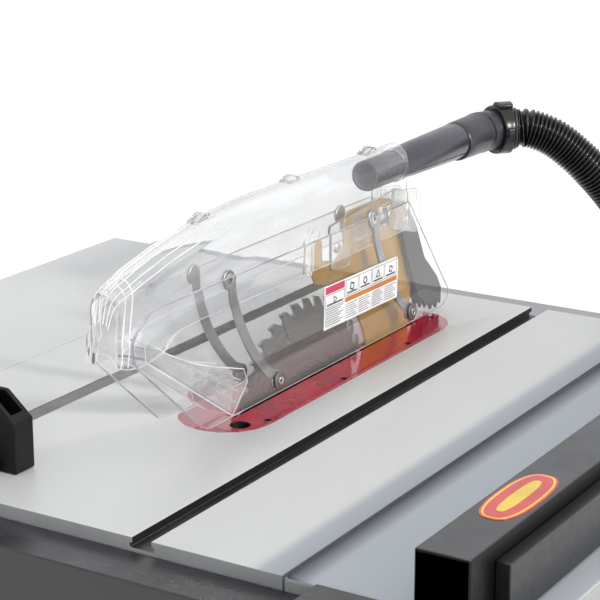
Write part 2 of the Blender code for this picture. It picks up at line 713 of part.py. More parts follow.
def guard_cheek():
    """The clear plate beside the knife that carries the hood's rear and its screws."""
    outline = rounded([(0.050, 0.100, 0.006), (0.090, 0.096, 0.006), (0.094, 0.118, 0.0),
        (0.215, 0.118, 0.006),
                       (0.215, 0.148, 0.004), (0.186, 0.158, 0.0), (0.050, 0.146, 0.003)], 3)
    plate = prism("guard_cheek", outline, "X", KNIFE_HALF + GAP, 0.0045, CLEAR)
    cut(plate, cylinder("cheek_pin_hole", "X", PAWL_PIN, 0.0040, 0, 0.03, None, 16))
    weld(plate, box("cheek_ledge", (0.004, 0.150, 0.126), (HOOD_HALF - HOOD_WALL - GAP, 0.186, 0.146)))


DEFLECTOR_HINGE = (-0.280, 0.106)


def front_deflector():
    """A clear folded flap inside the hood's nose that swings up as the guard is lowered."""
    half = HOOD_HALF - HOOD_WALL - 0.0012
    y, z = DEFLECTOR_HINGE
    side = rounded([(y - 0.006, z + 0.006, 0.004), (y + 0.070, z - 0.002, 0.006),
        (y + 0.146, z - 0.066, 0.004),
                    (y + 0.140, z - 0.078, 0.004), (y - 0.006, z - 0.006, 0.004)], 3)
    flap = prism("front_deflector", side, "X", -half, half, CLEAR)
    hollow = rounded([(y - 0.003, z + 0.020, 0.0), (y + 0.160, z + 0.020, 0.0), (y + 0.160, z - 0.078, 0.0),
                      (y + 0.1395, z - 0.0755, 0.0), (y - 0.003, z - 0.0035, 0.0)], 1)
    cut(flap, prism("deflector_hollow", hollow, "X", -half + 0.002, half - 0.002))
    pivot(flap, 0, y, z)


PANEL_OUTLINE = (
    (-0.206, 0.012, 0.035), (-0.311, 0.104, 0.020), (-0.318, 0.126, 0.018), (-0.286, 0.148, 0.020),
    (0.181, 0.148, 0.003), (0.279, 0.024, 0.010), (0.262, 0.012, 0.006),
)


def side_guards():
    for side_name, side in (("right", 1), ("left", -1)):
        low, high = sorted((side * PANEL_IN, side * PANEL_OUT))
        panel = prism(f"{side_name}_side_panel", rounded(PANEL_OUTLINE, 5), "X", low, high, CLEAR)
        inside_low, inside_high = sorted((side * LINK_IN, side * LINK_OUT))
        for place, shift in (("front", 0.0), ("rear", LINK_SPAN)):
            top = (LINK_TOP[0] + shift, LINK_TOP[1])
            foot = (LINK_FOOT[0] + shift, LINK_FOOT[1])
            link = prism(f"{side_name}_{place}_link", link_outline(top, foot), "X", inside_low, inside_high,
                LINK_GREY, True)
            cut(link, cylinder(f"{side_name}_{place}_top_eye", "X", top, 0.0034, -0.05, 0.05, None, 12))
            pivot(link, 0, *top)
            if place == "front":
                pin_low, pin_high = sorted((side * (LINK_IN + 0.0003), side * (PANEL_IN + 0.0006)))
                cut(link, cylinder(f"{side_name}_foot_eye", "X", foot, 0.0037, -0.05, 0.05, None, 12))
                weld(panel, cylinder(f"{side_name}_foot_pin", "X", foot, 0.0033, pin_low, pin_high, None, 12))
            else:
                cut(link, cylinder(f"{side_name}_open_eye", "X", foot, 0.0037, -0.05, 0.05, None, 12))
        pivot(panel, 0, *LINK_FOOT)


def link_outline(top, foot, eye=0.0095, half=0.0055):
    """A bowed flat arm between two round eyes, in Y, Z."""
    top, foot = Vector(top), Vector(foot)
    along = (foot - top).normalized()
    across = Vector((along.y, -along.x))
    bow = 0.013
    heading = math.degrees(math.atan2(along.y, along.x))
    out = arc(top, eye, heading + 40, heading + 320, 9)
    length = (foot - top).length
    for t in (0.15, 0.3, 0.5, 0.7, 0.85):
        out.append(tuple(top + along * length * t + across * (bow * 4 * t * (1 - t)) + across * half))
    out += arc(foot, eye, heading - 140, heading + 140, 9)
    for t in (0.85, 0.7, 0.5, 0.3, 0.15):
        out.append(tuple(top + along * length * t + across * (bow * 4 * t * (1 - t)) - across * half))
    return out


def pawls():
    axis_at = PAWL_PIN
    for name, side in (("right_pawl", 1), ("left_pawl", -1)):
        low, high = sorted((side * 0.0050, side * 0.0080))
        outline = [(0.190, 0.118), (0.194, 0.132), (0.208, 0.132), (0.231, 0.101), (0.247, 0.069),
            (0.276, 0.042),
                   (0.287, 0.026), (0.286, 0.006), (0.281, 0.010), (0.276, 0.003), (0.270, 0.010),
                   (0.263, 0.004),
                   (0.257, 0.014), (0.250, 0.009), (0.246, 0.019), (0.234, 0.027), (0.213, 0.066)]
        pawl = prism(name, outline, "X", low, high, DARK_STEEL)
        cut(pawl, cylinder(name + "_eye", "X", axis_at, 0.0034, -0.05, 0.05, None, 12))
        pivot(pawl, 0, *axis_at)


# ---------------------------------------------------------------- cabinet and its fittings
def cabinet():
    x0, x1, y0, y1 = CABINET_LEFT, CABINET_RIGHT, CABINET_FRONT, CABINET_REAR
    floor, top, wall = -TABLE_HEIGHT, -SKIRT_DEPTH - GAP, CABINET_WALL
    shell = box("cabinet", (x0, y0, floor + PLINTH_HEIGHT), (x1, y1, top), PAINT)
    slot_low = ring_sector(0.3215, 0.3415, -98, -47.5)
    cut(
        shell,
        box("cabinet_hollow", (x0 + wall, y0 + wall, floor + PLINTH_HEIGHT + wall),
        (x1 - wall, y1 - wall, 0.1)),
        prism("lift_slot", slot_low, "Y", y0 - 0.01, y0 + 0.01),
        cylinder("tilt_shaft_hole", "X", (WORM_WHEEL_Y, WORM_Z), 0.011, x1 - 0.01, x1 + 0.01, None, 20),
        cylinder("dust_outlet", "Y", (0.0, -0.48), 0.040, y1 - 0.01, y1 + 0.01, None, 28),
        box("motor_doorway", (x0 - 0.01, -0.120, -0.600), (x0 + 0.01, 0.200, -0.110)),
    )
    plinth = box("plinth", (x0 + 0.012, y0 + 0.012, floor + 0.012),
        (x1 - 0.012, y1 - 0.012, floor + PLINTH_HEIGHT - GAP), BLACK_PAINT)
    cut(plinth, box("plinth_hollow", (x0 + 0.040, y0 + 0.040, floor - 0.01),
        (x1 - 0.040, y1 - 0.040, floor + PLINTH_HEIGHT + 0.01)))
    for i, x in enumerate((x0 + 0.035, x1 - 0.035)):
        for k, y in enumerate((y0 + 0.035, y1 - 0.035)):
            weld(plinth, cylinder(f"foot_{i}{k}", "Z", (x, y), 0.018, floor, floor + 0.020, None, 16))


def door():
    x1 = CABINET_LEFT - GAP
    lid = box("motor_door", (x1 - 0.022, -0.130, -0.612), (x1, 0.210, -0.098), PAINT)
    cut(lid, box("door_hollow", (x1 - 0.019, -0.127, -0.609), (x1 + 0.01, 0.207, -0.101)))
    hinge = (x1 - 0.011, 0.216)
    barrel = cylinder("door_barrel", "Z", hinge, 0.005, -0.60, -0.11, None, 16)
    weld(lid, barrel, box("door_leaf", (hinge[0] - 0.003, 0.205, -0.60), (hinge[0] + 0.003, 0.216, -0.11)))
    pivot(lid, *hinge, 0)
    latch = turned("door_latch", "X", (-0.110, -0.355), [(0.0, x1 - 0.048), (0.014, x1 - 0.046),
        (0.014, x1 - 0.030), (0.007, x1 - 0.022 - GAP)], BLACK_PLASTIC, 20)
    pivot(latch, 0, -0.110, -0.355)


def dust_port():
    rear = CABINET_REAR + GAP
    flange = box("dust_port", (-0.060, rear, -0.540), (0.060, rear + 0.004, -0.420), BLACK_PLASTIC)
    weld(flange, cylinder("port_tube", "Y", (0, -0.48), 0.032, rear + 0.001, REAR_MOST, None, 28),
         cylinder("port_rim", "Y", (0, -0.48), 0.036, REAR_MOST - 0.012, REAR_MOST, None, 28))
    cut(flange, cylinder("port_bore", "Y", (0, -0.48), 0.0285, rear - 0.01, REAR_MOST + 0.01, None, 28))


def switch():
    rail_y = TABLE_FRONT - 0.0503 - GAP
    low, high = (-0.300, rail_y - 0.052, -0.215), (-0.200, rail_y + 0.030, -0.0725)
    body = box("switch_box", low, high, BLACK_PLASTIC)
    cut(body, box("start_pocket", (-0.268, low[1] - 0.01, -0.115), (-0.232, low[1] + 0.006, -0.085)),
        box("stop_pocket", (-0.280, low[1] - 0.01, -0.200), (-0.220, low[1] + 0.008, -0.125)))
    button = turned("start_button", "Y", (-0.250, -0.100),
                    [(0.0125, low[1] - 0.0005), (0.0125, low[1] + 0.0020)], START_GREEN, 24)
    paddle = rounded([(low[1] - 0.022, -0.205, 0.004), (low[1] - 0.008, -0.128, 0.004),
        (low[1] + 0.002, -0.128, 0.002),
                      (low[1] - 0.010, -0.205, 0.002)], 3)
    stop = prism("stop_paddle", paddle, "X", -0.276, -0.224, STOP_RED, True)
    pivot(stop, -0.250, low[1] - 0.003, -0.131)


# ---------------------------------------------------------------- mitre gauge
def mitre_gauge():
    half = SLOT_WIDTH / 2 - 0.0002
    bar = box("mitre_bar", (MITRE_X - half, -0.460, -SLOT_DEPTH + GAP), (MITRE_X + half, -0.020, -GAP), STEEL)
    hub = (MITRE_X, -0.355)
    head = rounded([(MITRE_X - 0.070, -0.338, 0.004), (MITRE_X - 0.070, -0.350, 0.004),
        (MITRE_X - 0.058, -0.395, 0.03),
                    (MITRE_X + 0.058, -0.395, 0.03), (MITRE_X + 0.070, -0.350, 0.004),
                    (MITRE_X + 0.070, -0.338, 0.004)], 4)
    body = prism("mitre_head", head, "Z", GAP, 0.012, BLACK_PLASTIC)
    weld(body, box("mitre_board", (MITRE_X - 0.088, -0.360, GAP), (MITRE_X + 0.088, -0.334, 0.070)))
    pivot(body, *hub, 0)
    knob = turned("mitre_knob", "Z", (MITRE_X, -0.382), [(0.008, 0.012 + GAP), (0.013, 0.025),
        (0.013, 0.085), (0.009, 0.100), (0.0, 0.102)], BLACK_PLASTIC, 20)
    pivot(knob, MITRE_X, -0.382, 0)


# ---------------------------------------------------------------- dust hose
CUFF_START = Vector((0.0, 0.3305, 0.1815))
CUFF_STRAIGHT, CUFF_BEND = 0.0560, 0.0560
CUFF_TURN = math.radians(58.5)
CUFF_LENGTH = CUFF_STRAIGHT + CUFF_BEND * CUFF_TURN
CUFF_END_WAY = Vector((math.sin(CUFF_TURN), math.cos(CUFF_TURN), 0.0))
CUFF_SHAPE = (
    (0.0, 0.0215), (0.004, 0.0222), (0.030, 0.0226), (0.056, 0.0230), (0.064, 0.0231), (0.073, 0.0232),
    (0.082, 0.0234), (0.084, 0.0268), (0.092, 0.0270), (0.100, 0.0270), (0.108, 0.0268), (0.110, 0.0236),
    (CUFF_LENGTH - 0.0005, 0.0224), (CUFF_LENGTH, 0.0224),
)


def on_cuff(along):
    """The point this far along the middle line of the cuff: straight at first, then turning to the right."""
    turn = max(along - CUFF_STRAIGHT, 0.0) / CUFF_BEND
    forward = min(along, CUFF_STRAIGHT) + CUFF_BEND * math.sin(turn)
    return CUFF_START + Vector((CUFF_BEND * (1 - math.cos(turn)), forward, 0.0))


HOSE_ROUTE = (
    on_cuff(CUFF_LENGTH) + CUFF_END_WAY * 0.0025, on_cuff(CUFF_LENGTH) + CUFF_END_WAY * 0.0150,
    (0.0607, 0.4548, 0.1725), (0.0795, 0.4663, 0.1573), (0.1034, 0.4809, 0.1315), (0.1250, 0.5050, 0.0950),
    (0.1400, 0.5450, 0.0450), (0.1400, 0.5900, -0.0150), (0.1280, 0.6250, -0.0850), (0.1050, 0.6450, -0.1600),
    (0.0780, 0.6480, -0.2400), (0.0500, 0.6300, -0.3200), (0.0280, 0.5900, -0.3900),
    (0.0120, 0.5300, -0.4450),
    (0.0030, 0.4600, -0.4740), (0.0, 0.3915, -0.4800),
)


def smooth_route(points, per_span=4):
    """Points along a Catmull-Rom curve through the route."""
    points = [Vector(p) for p in points]
    ends = [points[0] * 2 - points[1], *points, points[-1] * 2 - points[-2]]
    out = []
    for i in range(1, len(ends) - 2):
        a, b, c, d = ends[i - 1 : i + 3]
        for k in range(per_span):
            t = k / per_span
            bend, sway = 2 * a - 5 * b + 4 * c - d, 3 * b - 3 * c + d - a
            out.append(0.5 * (2 * b + (c - a) * t + bend * t * t + sway * t**3))
    return out + [points[-1]]


def tube_along(name, points, radii, mat, sides=2):
    curve = bpy.data.curves.new(name, "CURVE")
    curve.dimensions = "3D"
    spline = curve.splines.new("POLY")
    spline.points.add(len(points) - 1)
    curve.bevel_depth = max(radii)
    for slot, place, radius in zip(spline.points, points, radii):
        slot.co = (*place, 1)
        slot.radius = radius / curve.bevel_depth
    curve.bevel_resolution = sides
    curve.use_fill_caps = True
    curve.materials.append(mat)
    obj = bpy.data.objects.new(name, curve)
    bpy.context.scene.collection.objects.link(obj)
    obj.parent = SAW
    return obj


def hose():
    tube_along("guard_cuff", [on_cuff(d) for d, _ in CUFF_SHAPE], [r for _, r in CUFF_SHAPE], BLACK_PLASTIC,
        5)
    points = smooth_route(HOSE_ROUTE)
    middle = 4 * (len(HOSE_ROUTE) // 2)
    before, after = middle - 2, middle + 2
    for name, run in (("upper_hose", points[: before + 1]), ("lower_hose", points[after:])):
        tube_along(name, run, [HOSE_RADIUS] * len(run), HOSE_BLACK)
    chord = points[after] - points[before]
    half = chord.length / 2 - 0.0048
    coupler = turned("hose_coupler", "Z", (0, 0), [(0.024, -half), (0.0265, -half + 0.004),
        (0.0265, half - 0.004), (0.024, half)],
                     BLACK_PLASTIC, 28)
    coupler.rotation_mode = "QUATERNION"
    coupler.rotation_quaternion = chord.to_track_quat("Z", "X")
    coupler.location = (points[before] + points[after]) / 2


table_top()
wing("left_wing", TABLE_LEFT - GAP - WING_WIDTH, TABLE_LEFT - GAP)
wing("right_wing", TABLE_RIGHT + GAP, TABLE_RIGHT + GAP + WING_WIDTH)
rails()
fence()
insert_plate()
blade()
arbor()
carriage()
motor()
pulleys_and_belt()
cradle()
trunnion("front_trunnion", CRADLE_FRONT)
trunnion("rear_trunnion", CRADLE_REAR - PLATE)
lift_screw()
lift_wheel()
tilt_wheel()
knife()
knife_clamp()
hood()
nozzle()
guard_cheek()
front_deflector()
side_guards()
pawls()
cabinet()
door()
dust_port()
switch()
mitre_gauge()
hose()
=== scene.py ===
"""Looks of the cabinet table saw: procedural materials, clear blade guard, blade, ribbed dust hose.

Shapes are written in millimetres in the saw's working datum: X = 0 is the blade plane, Y = 0 the
arbor axis, Z = 0 the table top. new_piece() makes metres of them, and DATUM carries them into the
row frame. Materials, the copies of CAD nodes, the camera and the lamps are in metres.
"""

import json
from math import atan2, copysign, cos, degrees, pi, radians, sin, tan

import bmesh
import bpy
from mathutils import Matrix, Vector


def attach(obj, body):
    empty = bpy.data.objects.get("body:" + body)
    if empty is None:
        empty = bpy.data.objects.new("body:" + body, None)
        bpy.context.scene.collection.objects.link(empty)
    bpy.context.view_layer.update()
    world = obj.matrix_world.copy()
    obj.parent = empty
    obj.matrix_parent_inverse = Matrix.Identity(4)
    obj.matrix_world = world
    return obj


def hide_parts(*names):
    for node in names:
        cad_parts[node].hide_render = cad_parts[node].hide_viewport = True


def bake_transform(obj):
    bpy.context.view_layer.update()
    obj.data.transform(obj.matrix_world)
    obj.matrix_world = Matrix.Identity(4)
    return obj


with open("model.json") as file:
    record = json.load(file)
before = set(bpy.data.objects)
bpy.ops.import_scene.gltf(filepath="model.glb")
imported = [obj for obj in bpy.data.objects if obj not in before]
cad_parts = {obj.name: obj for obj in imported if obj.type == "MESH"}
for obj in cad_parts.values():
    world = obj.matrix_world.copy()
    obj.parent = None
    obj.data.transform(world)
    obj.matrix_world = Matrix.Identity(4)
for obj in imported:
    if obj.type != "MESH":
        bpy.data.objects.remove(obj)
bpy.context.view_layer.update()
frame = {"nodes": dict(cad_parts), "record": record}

MM = 0.001
DATUM = Vector((-0.2235, 0.0717, 0.87))
RECORD = frame["record"]
BODY_OF = {node: body for body, nodes in RECORD["behaviour"]["bodies"].items() for node in nodes}
SLOT_OF = {part["node"]: part["material_slot"] for part in RECORD["subparts"]}
SCENE = bpy.context.scene
SIDES = (("right", 1), ("left", -1))
ARBOR_Z = -44.4


def add_object(name, data, place=DATUM):
    obj = bpy.data.objects.new(name, data)
    obj.location = place
    SCENE.collection.objects.link(obj)
    return obj


# ---- camera
CAMERA_PLACE = (1.0049, -1.639, 0.6545)
CAMERA_DOWN, CAMERA_TURN = radians(16.6), radians(31.5)
optics = bpy.data.cameras.new("camera")
optics.lens = 120.7
optics.sensor_width = 36
optics.clip_start, optics.clip_end = 0.05, 60
camera = add_object("camera", optics, DATUM + Vector(CAMERA_PLACE))
camera.rotation_euler = (pi / 2 - CAMERA_DOWN, 0, CAMERA_TURN)
SCENE.camera = camera


# ---- mesh tools
def shade(mesh, sharp_from):
    mesh.shade_smooth()
    mesh.set_sharp_from_angle(angle=radians(sharp_from))


def new_piece(name, data, mats, body=None, slot=None, nodes=(), smooth=35, edge=None):
    """A mesh piece from (verts, faces) or (verts, faces, material numbers).

    It rides on body and stands for nodes; slot is not used. edge holds soften()'s settings.
    """
    verts, faces, *marks = data
    mesh = bpy.data.meshes.new(name)
    mesh.from_pydata([[c * MM for c in v] for v in verts], [], faces)
    for mat in mats if isinstance(mats, list) else [mats]:
        mesh.materials.append(mat)
    if marks:
        mesh.polygons.foreach_set("material_index", marks[0])
    form = bmesh.new()
    form.from_mesh(mesh)
    bmesh.ops.recalc_face_normals(form, faces=form.faces)
    form.to_mesh(mesh)
    form.free()
    if smooth:
        shade(mesh, smooth)
    piece = add_object(name, mesh)
    if edge:
        soften(piece, *edge)
    if body:
        settle(piece, body, slot, nodes)
    return piece


def settle(piece, body, slot, nodes=()):
    if nodes:
        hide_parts(*nodes)
    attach(piece, body)


def soften(piece, width, segments=2, angle=30):
    """Rounds the piece's edges. The width is in millimetres."""
    bevel = piece.modifiers.new("edges", "BEVEL")
    bevel.width = width * MM
    bevel.segments = segments
    bevel.limit_method = "ANGLE"
    bevel.angle_limit = radians(angle)
    bevel.harden_normals = False


def cut(piece, cutters):
    """Takes (data, material) cutters out of the piece, whose mesh becomes the result."""
    tools = [new_piece("cutter", data, mat, smooth=0) for data, mat in cutters]
    for tool in tools:
        change = piece.modifiers.new("cut", "BOOLEAN")
        change.operation, change.object, change.solver = "DIFFERENCE", tool, "EXACT"
        change.material_mode = "TRANSFER"
    bpy.context.view_layer.update()
    graph = bpy.context.evaluated_depsgraph_get()
    made = bpy.data.meshes.new_from_object(piece.evaluated_get(graph))
    piece.modifiers.clear()
    piece.data = made
    shade(made, 30)
    for tool in tools:
        bpy.data.objects.remove(tool, do_unlink=True)


def along_axis(axis, a, b, at):
    """The point at a distance along the axis, with a and b across it."""
    return {"X": (at, a, b), "Y": (a, at, b), "Z": (a, b, at)}[axis]


def prism(outline, axis, low, high):
    """An outline of (a, b) points drawn out along the axis."""
    count = len(outline)
    verts = [along_axis(axis, a, b, at) for at in (low, high) for a, b in outline]
    faces = [tuple(reversed(range(count))), tuple(range(count, 2 * count))]
    faces += [(i, (i + 1) % count, count + (i + 1) % count, count + i) for i in range(count)]
    return verts, faces


def arc(center, radius, from_deg, to_deg, steps):
    angles = [radians(from_deg + (to_deg - from_deg) * i / steps) for i in range(steps + 1)]
    return [(center[0] + radius * cos(a), center[1] + radius * sin(a)) for a in angles]


def circle(center, radius, sides, start=0):
    return arc(center, radius, start, start + 360, sides)[:-1]


def turned(axis, center, profile, sides=48, ring=False):
    """A solid of revolution from (radius, distance along the axis) points, or a hollow ring."""
    verts, faces, rings = [], [], []
    for radius, along in profile:
        around = circle(center, radius, sides) if radius > 0 else [center]
        rings.append(range(len(verts), len(verts) + len(around)))
        verts += [along_axis(axis, a, b, along) for a, b in around]
    following = rings[1:] + rings[:1] if ring else rings[1:]
    for lower, upper in zip(rings, following):
        for i in range(sides):
            j = (i + 1) % sides
            if len(lower) == 1:
                faces.append((lower[0], upper[j], upper[i]))
            elif len(upper) == 1:
                faces.append((lower[i], lower[j], upper[0]))
            else:
                faces.append((lower[i], lower[j], upper[j], upper[i]))
    if not ring:
        faces += [tuple(end) for end in (rings[0][::-1], rings[-1]) if len(end) > 1]
    return verts, faces


def joined(parts):
    """Several (verts, faces) as one. A part may start with the number of its material."""
    verts, faces, marks = [], [], []
    for part in parts:
        more, sides = part[-2:]
        base = len(verts)
        verts += list(more)
        faces += [tuple(base + i for i in face) for face in sides]
        marks += [part[0] if len(part) > 2 else 0] * len(sides)
    return verts, faces, marks


def rounded(corners, steps=6):
    """An outline from (a, b, radius) corners, each rounded by an arc of that radius."""
    out = []
    for i, (a, b, radius) in enumerate(corners):
        here = Vector((a, b))
        before = (Vector(corners[i - 1][:2]) - here).normalized()
        after = (Vector(corners[(i + 1) % len(corners)][:2]) - here).normalized()
        if radius <= 0:
            out.append((a, b))
            continue
        half = before.angle(after) / 2
        middle = here + (before + after).normalized() * radius / sin(half)
        first = here + before * radius / tan(half) - middle
        sweep = first.angle_signed(here + after * radius / tan(half) - middle)
        for k in range(steps + 1):
            spoke = first.copy()
            spoke.rotate(Matrix.Rotation(-sweep * k / steps, 2))
            out.append(tuple(middle + spoke))
    return out


def box(low, high):
    (x0, y0, z0), (x1, y1, z1) = low, high
    return prism([(x0, y0), (x1, y0), (x1, y1), (x0, y1)], "Z", z0, z1)


def strip(a, b, half, axis, low, high):
    """A straight bar from point a to point b, half its width to each side."""
    along = (b - a).normalized()
    across = Vector((-along.y, along.x)) * half
    return prism([a - across, b - across, b + across, a + across], axis, low, high)


def smooth_rows(rows, per_span, straight_ends=False):
    """Rows of numbers along a Catmull-Rom curve through the given rows."""
    rows = [Vector(row) for row in rows]
    ends = [rows[0], *rows, rows[-1]]
    if straight_ends:
        ends[0], ends[-1] = rows[0] * 2 - rows[1], rows[-1] * 2 - rows[-2]
    out = []
    for i in range(1, len(ends) - 2):
        a, b, c, d = ends[i - 1 : i + 3]
        for k in range(per_span):
            t = k / per_span
            step = (c - a) * t + (2 * a - 5 * b + 4 * c - d) * t * t
            out.append(0.5 * (2 * b + step + (3 * b - 3 * c + d - a) * t**3))
    return out + [rows[-1]]


def even_steps(points, spacing):
    """The same route with points a set distance apart."""
    out, gone, goal = [points[0]], 0, spacing
    for a, b in zip(points, points[1:]):
        length = (b - a).length
        while gone + length >= goal:
            out.append(a.lerp(b, (goal - gone) / length))
            goal += spacing
        gone += length
    return out


def tube(points, radii, sides=12, side_axis=(1, 0, 0)):
    """A round tube with one radius or one for each point. side_axis stays across the route."""
    verts, faces = [], []
    count, side_axis = len(points), Vector(side_axis)
    radii = radii if isinstance(radii, list) else [radii] * count
    for i, point in enumerate(points):
        along = (points[min(i + 1, count - 1)] - points[max(i - 1, 0)]).normalized()
        across = (side_axis - along * side_axis.dot(along)).normalized()
        up = along.cross(across)
        for k in range(sides):
            turn = 2 * pi * k / sides
            verts.append(point + (across * cos(turn) + up * sin(turn)) * radii[i])
    for i in range(0, (count - 1) * sides, sides):
        for k in range(sides):
            j = (k + 1) % sides
            faces.append((i + k, i + j, i + sides + j, i + sides + k))
    faces += [tuple(range(sides)), tuple(reversed(range((count - 1) * sides, count * sides)))]
    return verts, faces


def mirrored(side, near, far):
    """The low and high X of something that lies from near to far on that side."""
    return sorted((side * near, side * far))


# ---- materials
class Recipe:
    """Builds one Principled material from noise-driven colour, roughness and bump."""

    def __init__(self, name, color, rough, metal=0):
        self.mat = bpy.data.materials.new(name)
        self.mat.use_nodes = True
        self.tree = self.mat.node_tree
        self.shader = self.tree.nodes["Principled BSDF"]
        self.color, self.rough = color, rough
        self.put("Base Color", (*color, 1)).put("Roughness", rough).put("Metallic", metal)
        self.coords = self.add("TexCoord").outputs["Object"]

    def put(self, socket, value):
        """Sets or links one of the shader's sockets."""
        self.fill(self.shader.inputs[socket], value)
        return self

    def fill(self, socket, value):
        if isinstance(value, bpy.types.NodeSocket):
            self.tree.links.new(value, socket)
        else:
            socket.default_value = value

    def add(self, kind, **inputs):
        node = self.tree.nodes.new("ShaderNode" + kind)
        for key, value in inputs.items():
            self.fill(node.inputs[key], value)
        return node

    def math(self, operation, *values):
        node = self.add("Math")
        node.operation = operation
        for socket, value in zip(node.inputs, values):
            self.fill(socket, value)
        return node.outputs["Value"]

    def noise(self, scale, stretch=(1, 1, 1), detail=4):
        place = self.add("Mapping", Vector=self.coords, Scale=stretch).outputs["Vector"]
        node = self.add("TexNoise", Scale=scale, Detail=detail, Roughness=0.55, Vector=place)
        return node.outputs["Fac"]

    def ranged(self, value, low, high, from_low=0.3, from_high=0.7):
        limits = {"From Min": from_low, "From Max": from_high, "To Min": low, "To Max": high}
        return self.add("MapRange", Value=value, **limits).outputs["Result"]

    def mixed(self, factor, a, b):
        node = self.add("Mix")
        node.data_type = "RGBA"
        self.fill(node.inputs["Factor"], factor)
        for socket, value in ((node.inputs[6], a), (node.inputs[7], b)):
            self.fill(socket, (*value, 1) if isinstance(value, tuple) else value)
        return node.outputs[2]

    def vary(self, amount, scale=30, stretch=(1, 1, 1), tint=None):
        """Colour drifts between darker and lighter, or towards a tint."""
        factor = self.ranged(self.noise(scale, stretch), 0, 1)
        dark = tint or tuple(c * (1 - amount) for c in self.color)
        light = tuple(min(1, c * (1 + amount)) for c in self.color)
        self.base = self.mixed(factor, dark, light)
        return self.put("Base Color", self.base)

    def over(self, factor, tint):
        """Puts a second colour over the first where factor is high."""
        self.base = self.mixed(factor, self.base, tint)
        return self.put("Base Color", self.base)

    def roughen(self, amount, scale=60, stretch=(1, 1, 1)):
        noise = self.noise(scale, stretch)
        return self.put("Roughness", self.ranged(noise, self.rough - amount, self.rough + amount))

    def bump(self, strength, scale, distance=0.0005, stretch=(1, 1, 1), height=None):
        height = height or self.noise(scale, stretch, 3)
        node = self.add("Bump", Strength=strength, Distance=distance, Height=height)
        return self.put("Normal", node.outputs["Normal"])

    def coat(self, weight, rough):
        return self.put("Coat Weight", weight).put("Coat Roughness", rough)


def ground_iron(name, color, fence_shadow, seam=None):
    """Ground cast iron: long grinding marks and faint clouding, with painted shadow and shade.

    fence_shadow is (from X, to X, colour beyond it): the fence's cast shadow, painted on the iron
    past that X. seam is the X range of painted shade beside the right wing's seam.
    """
    made = Recipe(name, color, 0.42, 0.12).vary(0.035, 6, (1, 0.5, 1))
    grain = made.ranged(made.noise(900, (1, 0.03, 1), 3), 0, 1, 0.35, 0.65)
    made.over(made.math("MULTIPLY", grain, 0.35), tuple(c * 0.93 for c in color))
    x = made.add("SeparateXYZ", Vector=made.coords).outputs["X"]
    # Painted shadow: past fence_shadow's X the iron turns to the blue-grey of the fence's shadow.
    made.over(made.ranged(x, 0, 1, *fence_shadow[:2]), fence_shadow[2])
    # Painted shade: the right wing turns dark navy at its seam and fades back to the iron by X
    # 0.266.
    if seam:
        near = made.math("POWER", made.ranged(x, 1, 0, *seam), 0.9)
        inside = made.math("GREATER_THAN", x, seam[0] - 0.006)
        made.over(made.math("MULTIPLY", near, inside), (0.03, 0.036, 0.058))
    made.roughen(0.06, 300, (1, 0.05, 1)).bump(0.1, 1100, 0.0002, (1, 0.03, 1))
    return made.put("Specular IOR Level", 0.4).mat


def paint(name, color, rough=0.38, grain=0.12):
    made = Recipe(name, color, rough).vary(0.05, 8).roughen(0.07, 40)
    return made.bump(grain, 900, 0.0003).coat(0.25, 0.2).mat


def cast_paint(name, color):
    made = Recipe(name, color, 0.55, 0.1).vary(0.035, 60).roughen(0.1, 90)
    return made.bump(0.45, 420, 0.0006).mat


def metal(name, color, rough, stretch=(1, 1, 1), scale=500):
    made = Recipe(name, color, rough, 1).vary(0.14, 35).roughen(0.09, scale, stretch)
    return made.bump(0.12, scale, 0.0002, stretch).mat


def plastic(name, color, rough=0.42, grain=0.25, coat=0, shine=0.5):
    made = Recipe(name, color, rough).vary(0.18, 25).roughen(0.06, 120)
    made.bump(grain, 1500, 0.00025).coat(coat, 0.15)
    return made.put("Specular IOR Level", shine).mat


def mix_shaders(tree, rays, first, second, output):
    """The second shader shows to the named kinds of ray, and the first to the others."""
    path = tree.nodes.new("ShaderNodeLightPath")
    either = tree.nodes.new("ShaderNodeMixShader")
    most = tree.nodes.new("ShaderNodeMath")
    most.operation = "MAXIMUM"
    for index, ray in enumerate(rays):
        tree.links.new(path.outputs[ray], most.inputs[index])
    tree.links.new(most.outputs["Value"], either.inputs["Fac"])
    tree.links.new(first.outputs[0], either.inputs[1])
    tree.links.new(second.outputs[0], either.inputs[2])
    tree.links.new(either.outputs["Shader"], tree.nodes[output].inputs["Surface"])


def clear_plastic(name, tint, rough, haze, milk=0, streak=(1, 1, 1), scale=18, edge=None,
                  shine=0.28):
    """Clear polycarbonate with a streaky haze, milky at grazing angles.

    Lamps pass through it, so what it covers stays lit.
    """
    made = Recipe(name, tint, rough).put("IOR", 1.4).put("Specular IOR Level", shine)
    lighter = tuple(min(1, c * 1.1) for c in tint)
    made.base = made.mixed(made.ranged(made.noise(scale, streak), 0, 1), tint, lighter)
    noise = made.noise(scale * 1.3, streak, 5)
    veil = made.ranged(noise, haze * 0.45, haze * 1.55, 0.32, 0.68)
    rim = made.add("LayerWeight", Blend=0.35).outputs["Facing"]
    made.over(made.ranged(rim, 0, 1, 0.6, 1), edge or tint)
    cloudy = made.math("ADD", veil, made.ranged(rim, 0, milk, 0.55, 1))
    made.put("Transmission Weight", made.ranged(cloudy, 1, 0, 0, 1))
    made.bump(0.02, 22, 0.003)
    passing = made.add("BsdfTransparent", Color=(1, 1, 1, 1))
    rays = ("Is Shadow Ray", "Is Diffuse Ray")
    mix_shaders(made.tree, rays, made.shader, passing, "Material Output")
    return made.mat


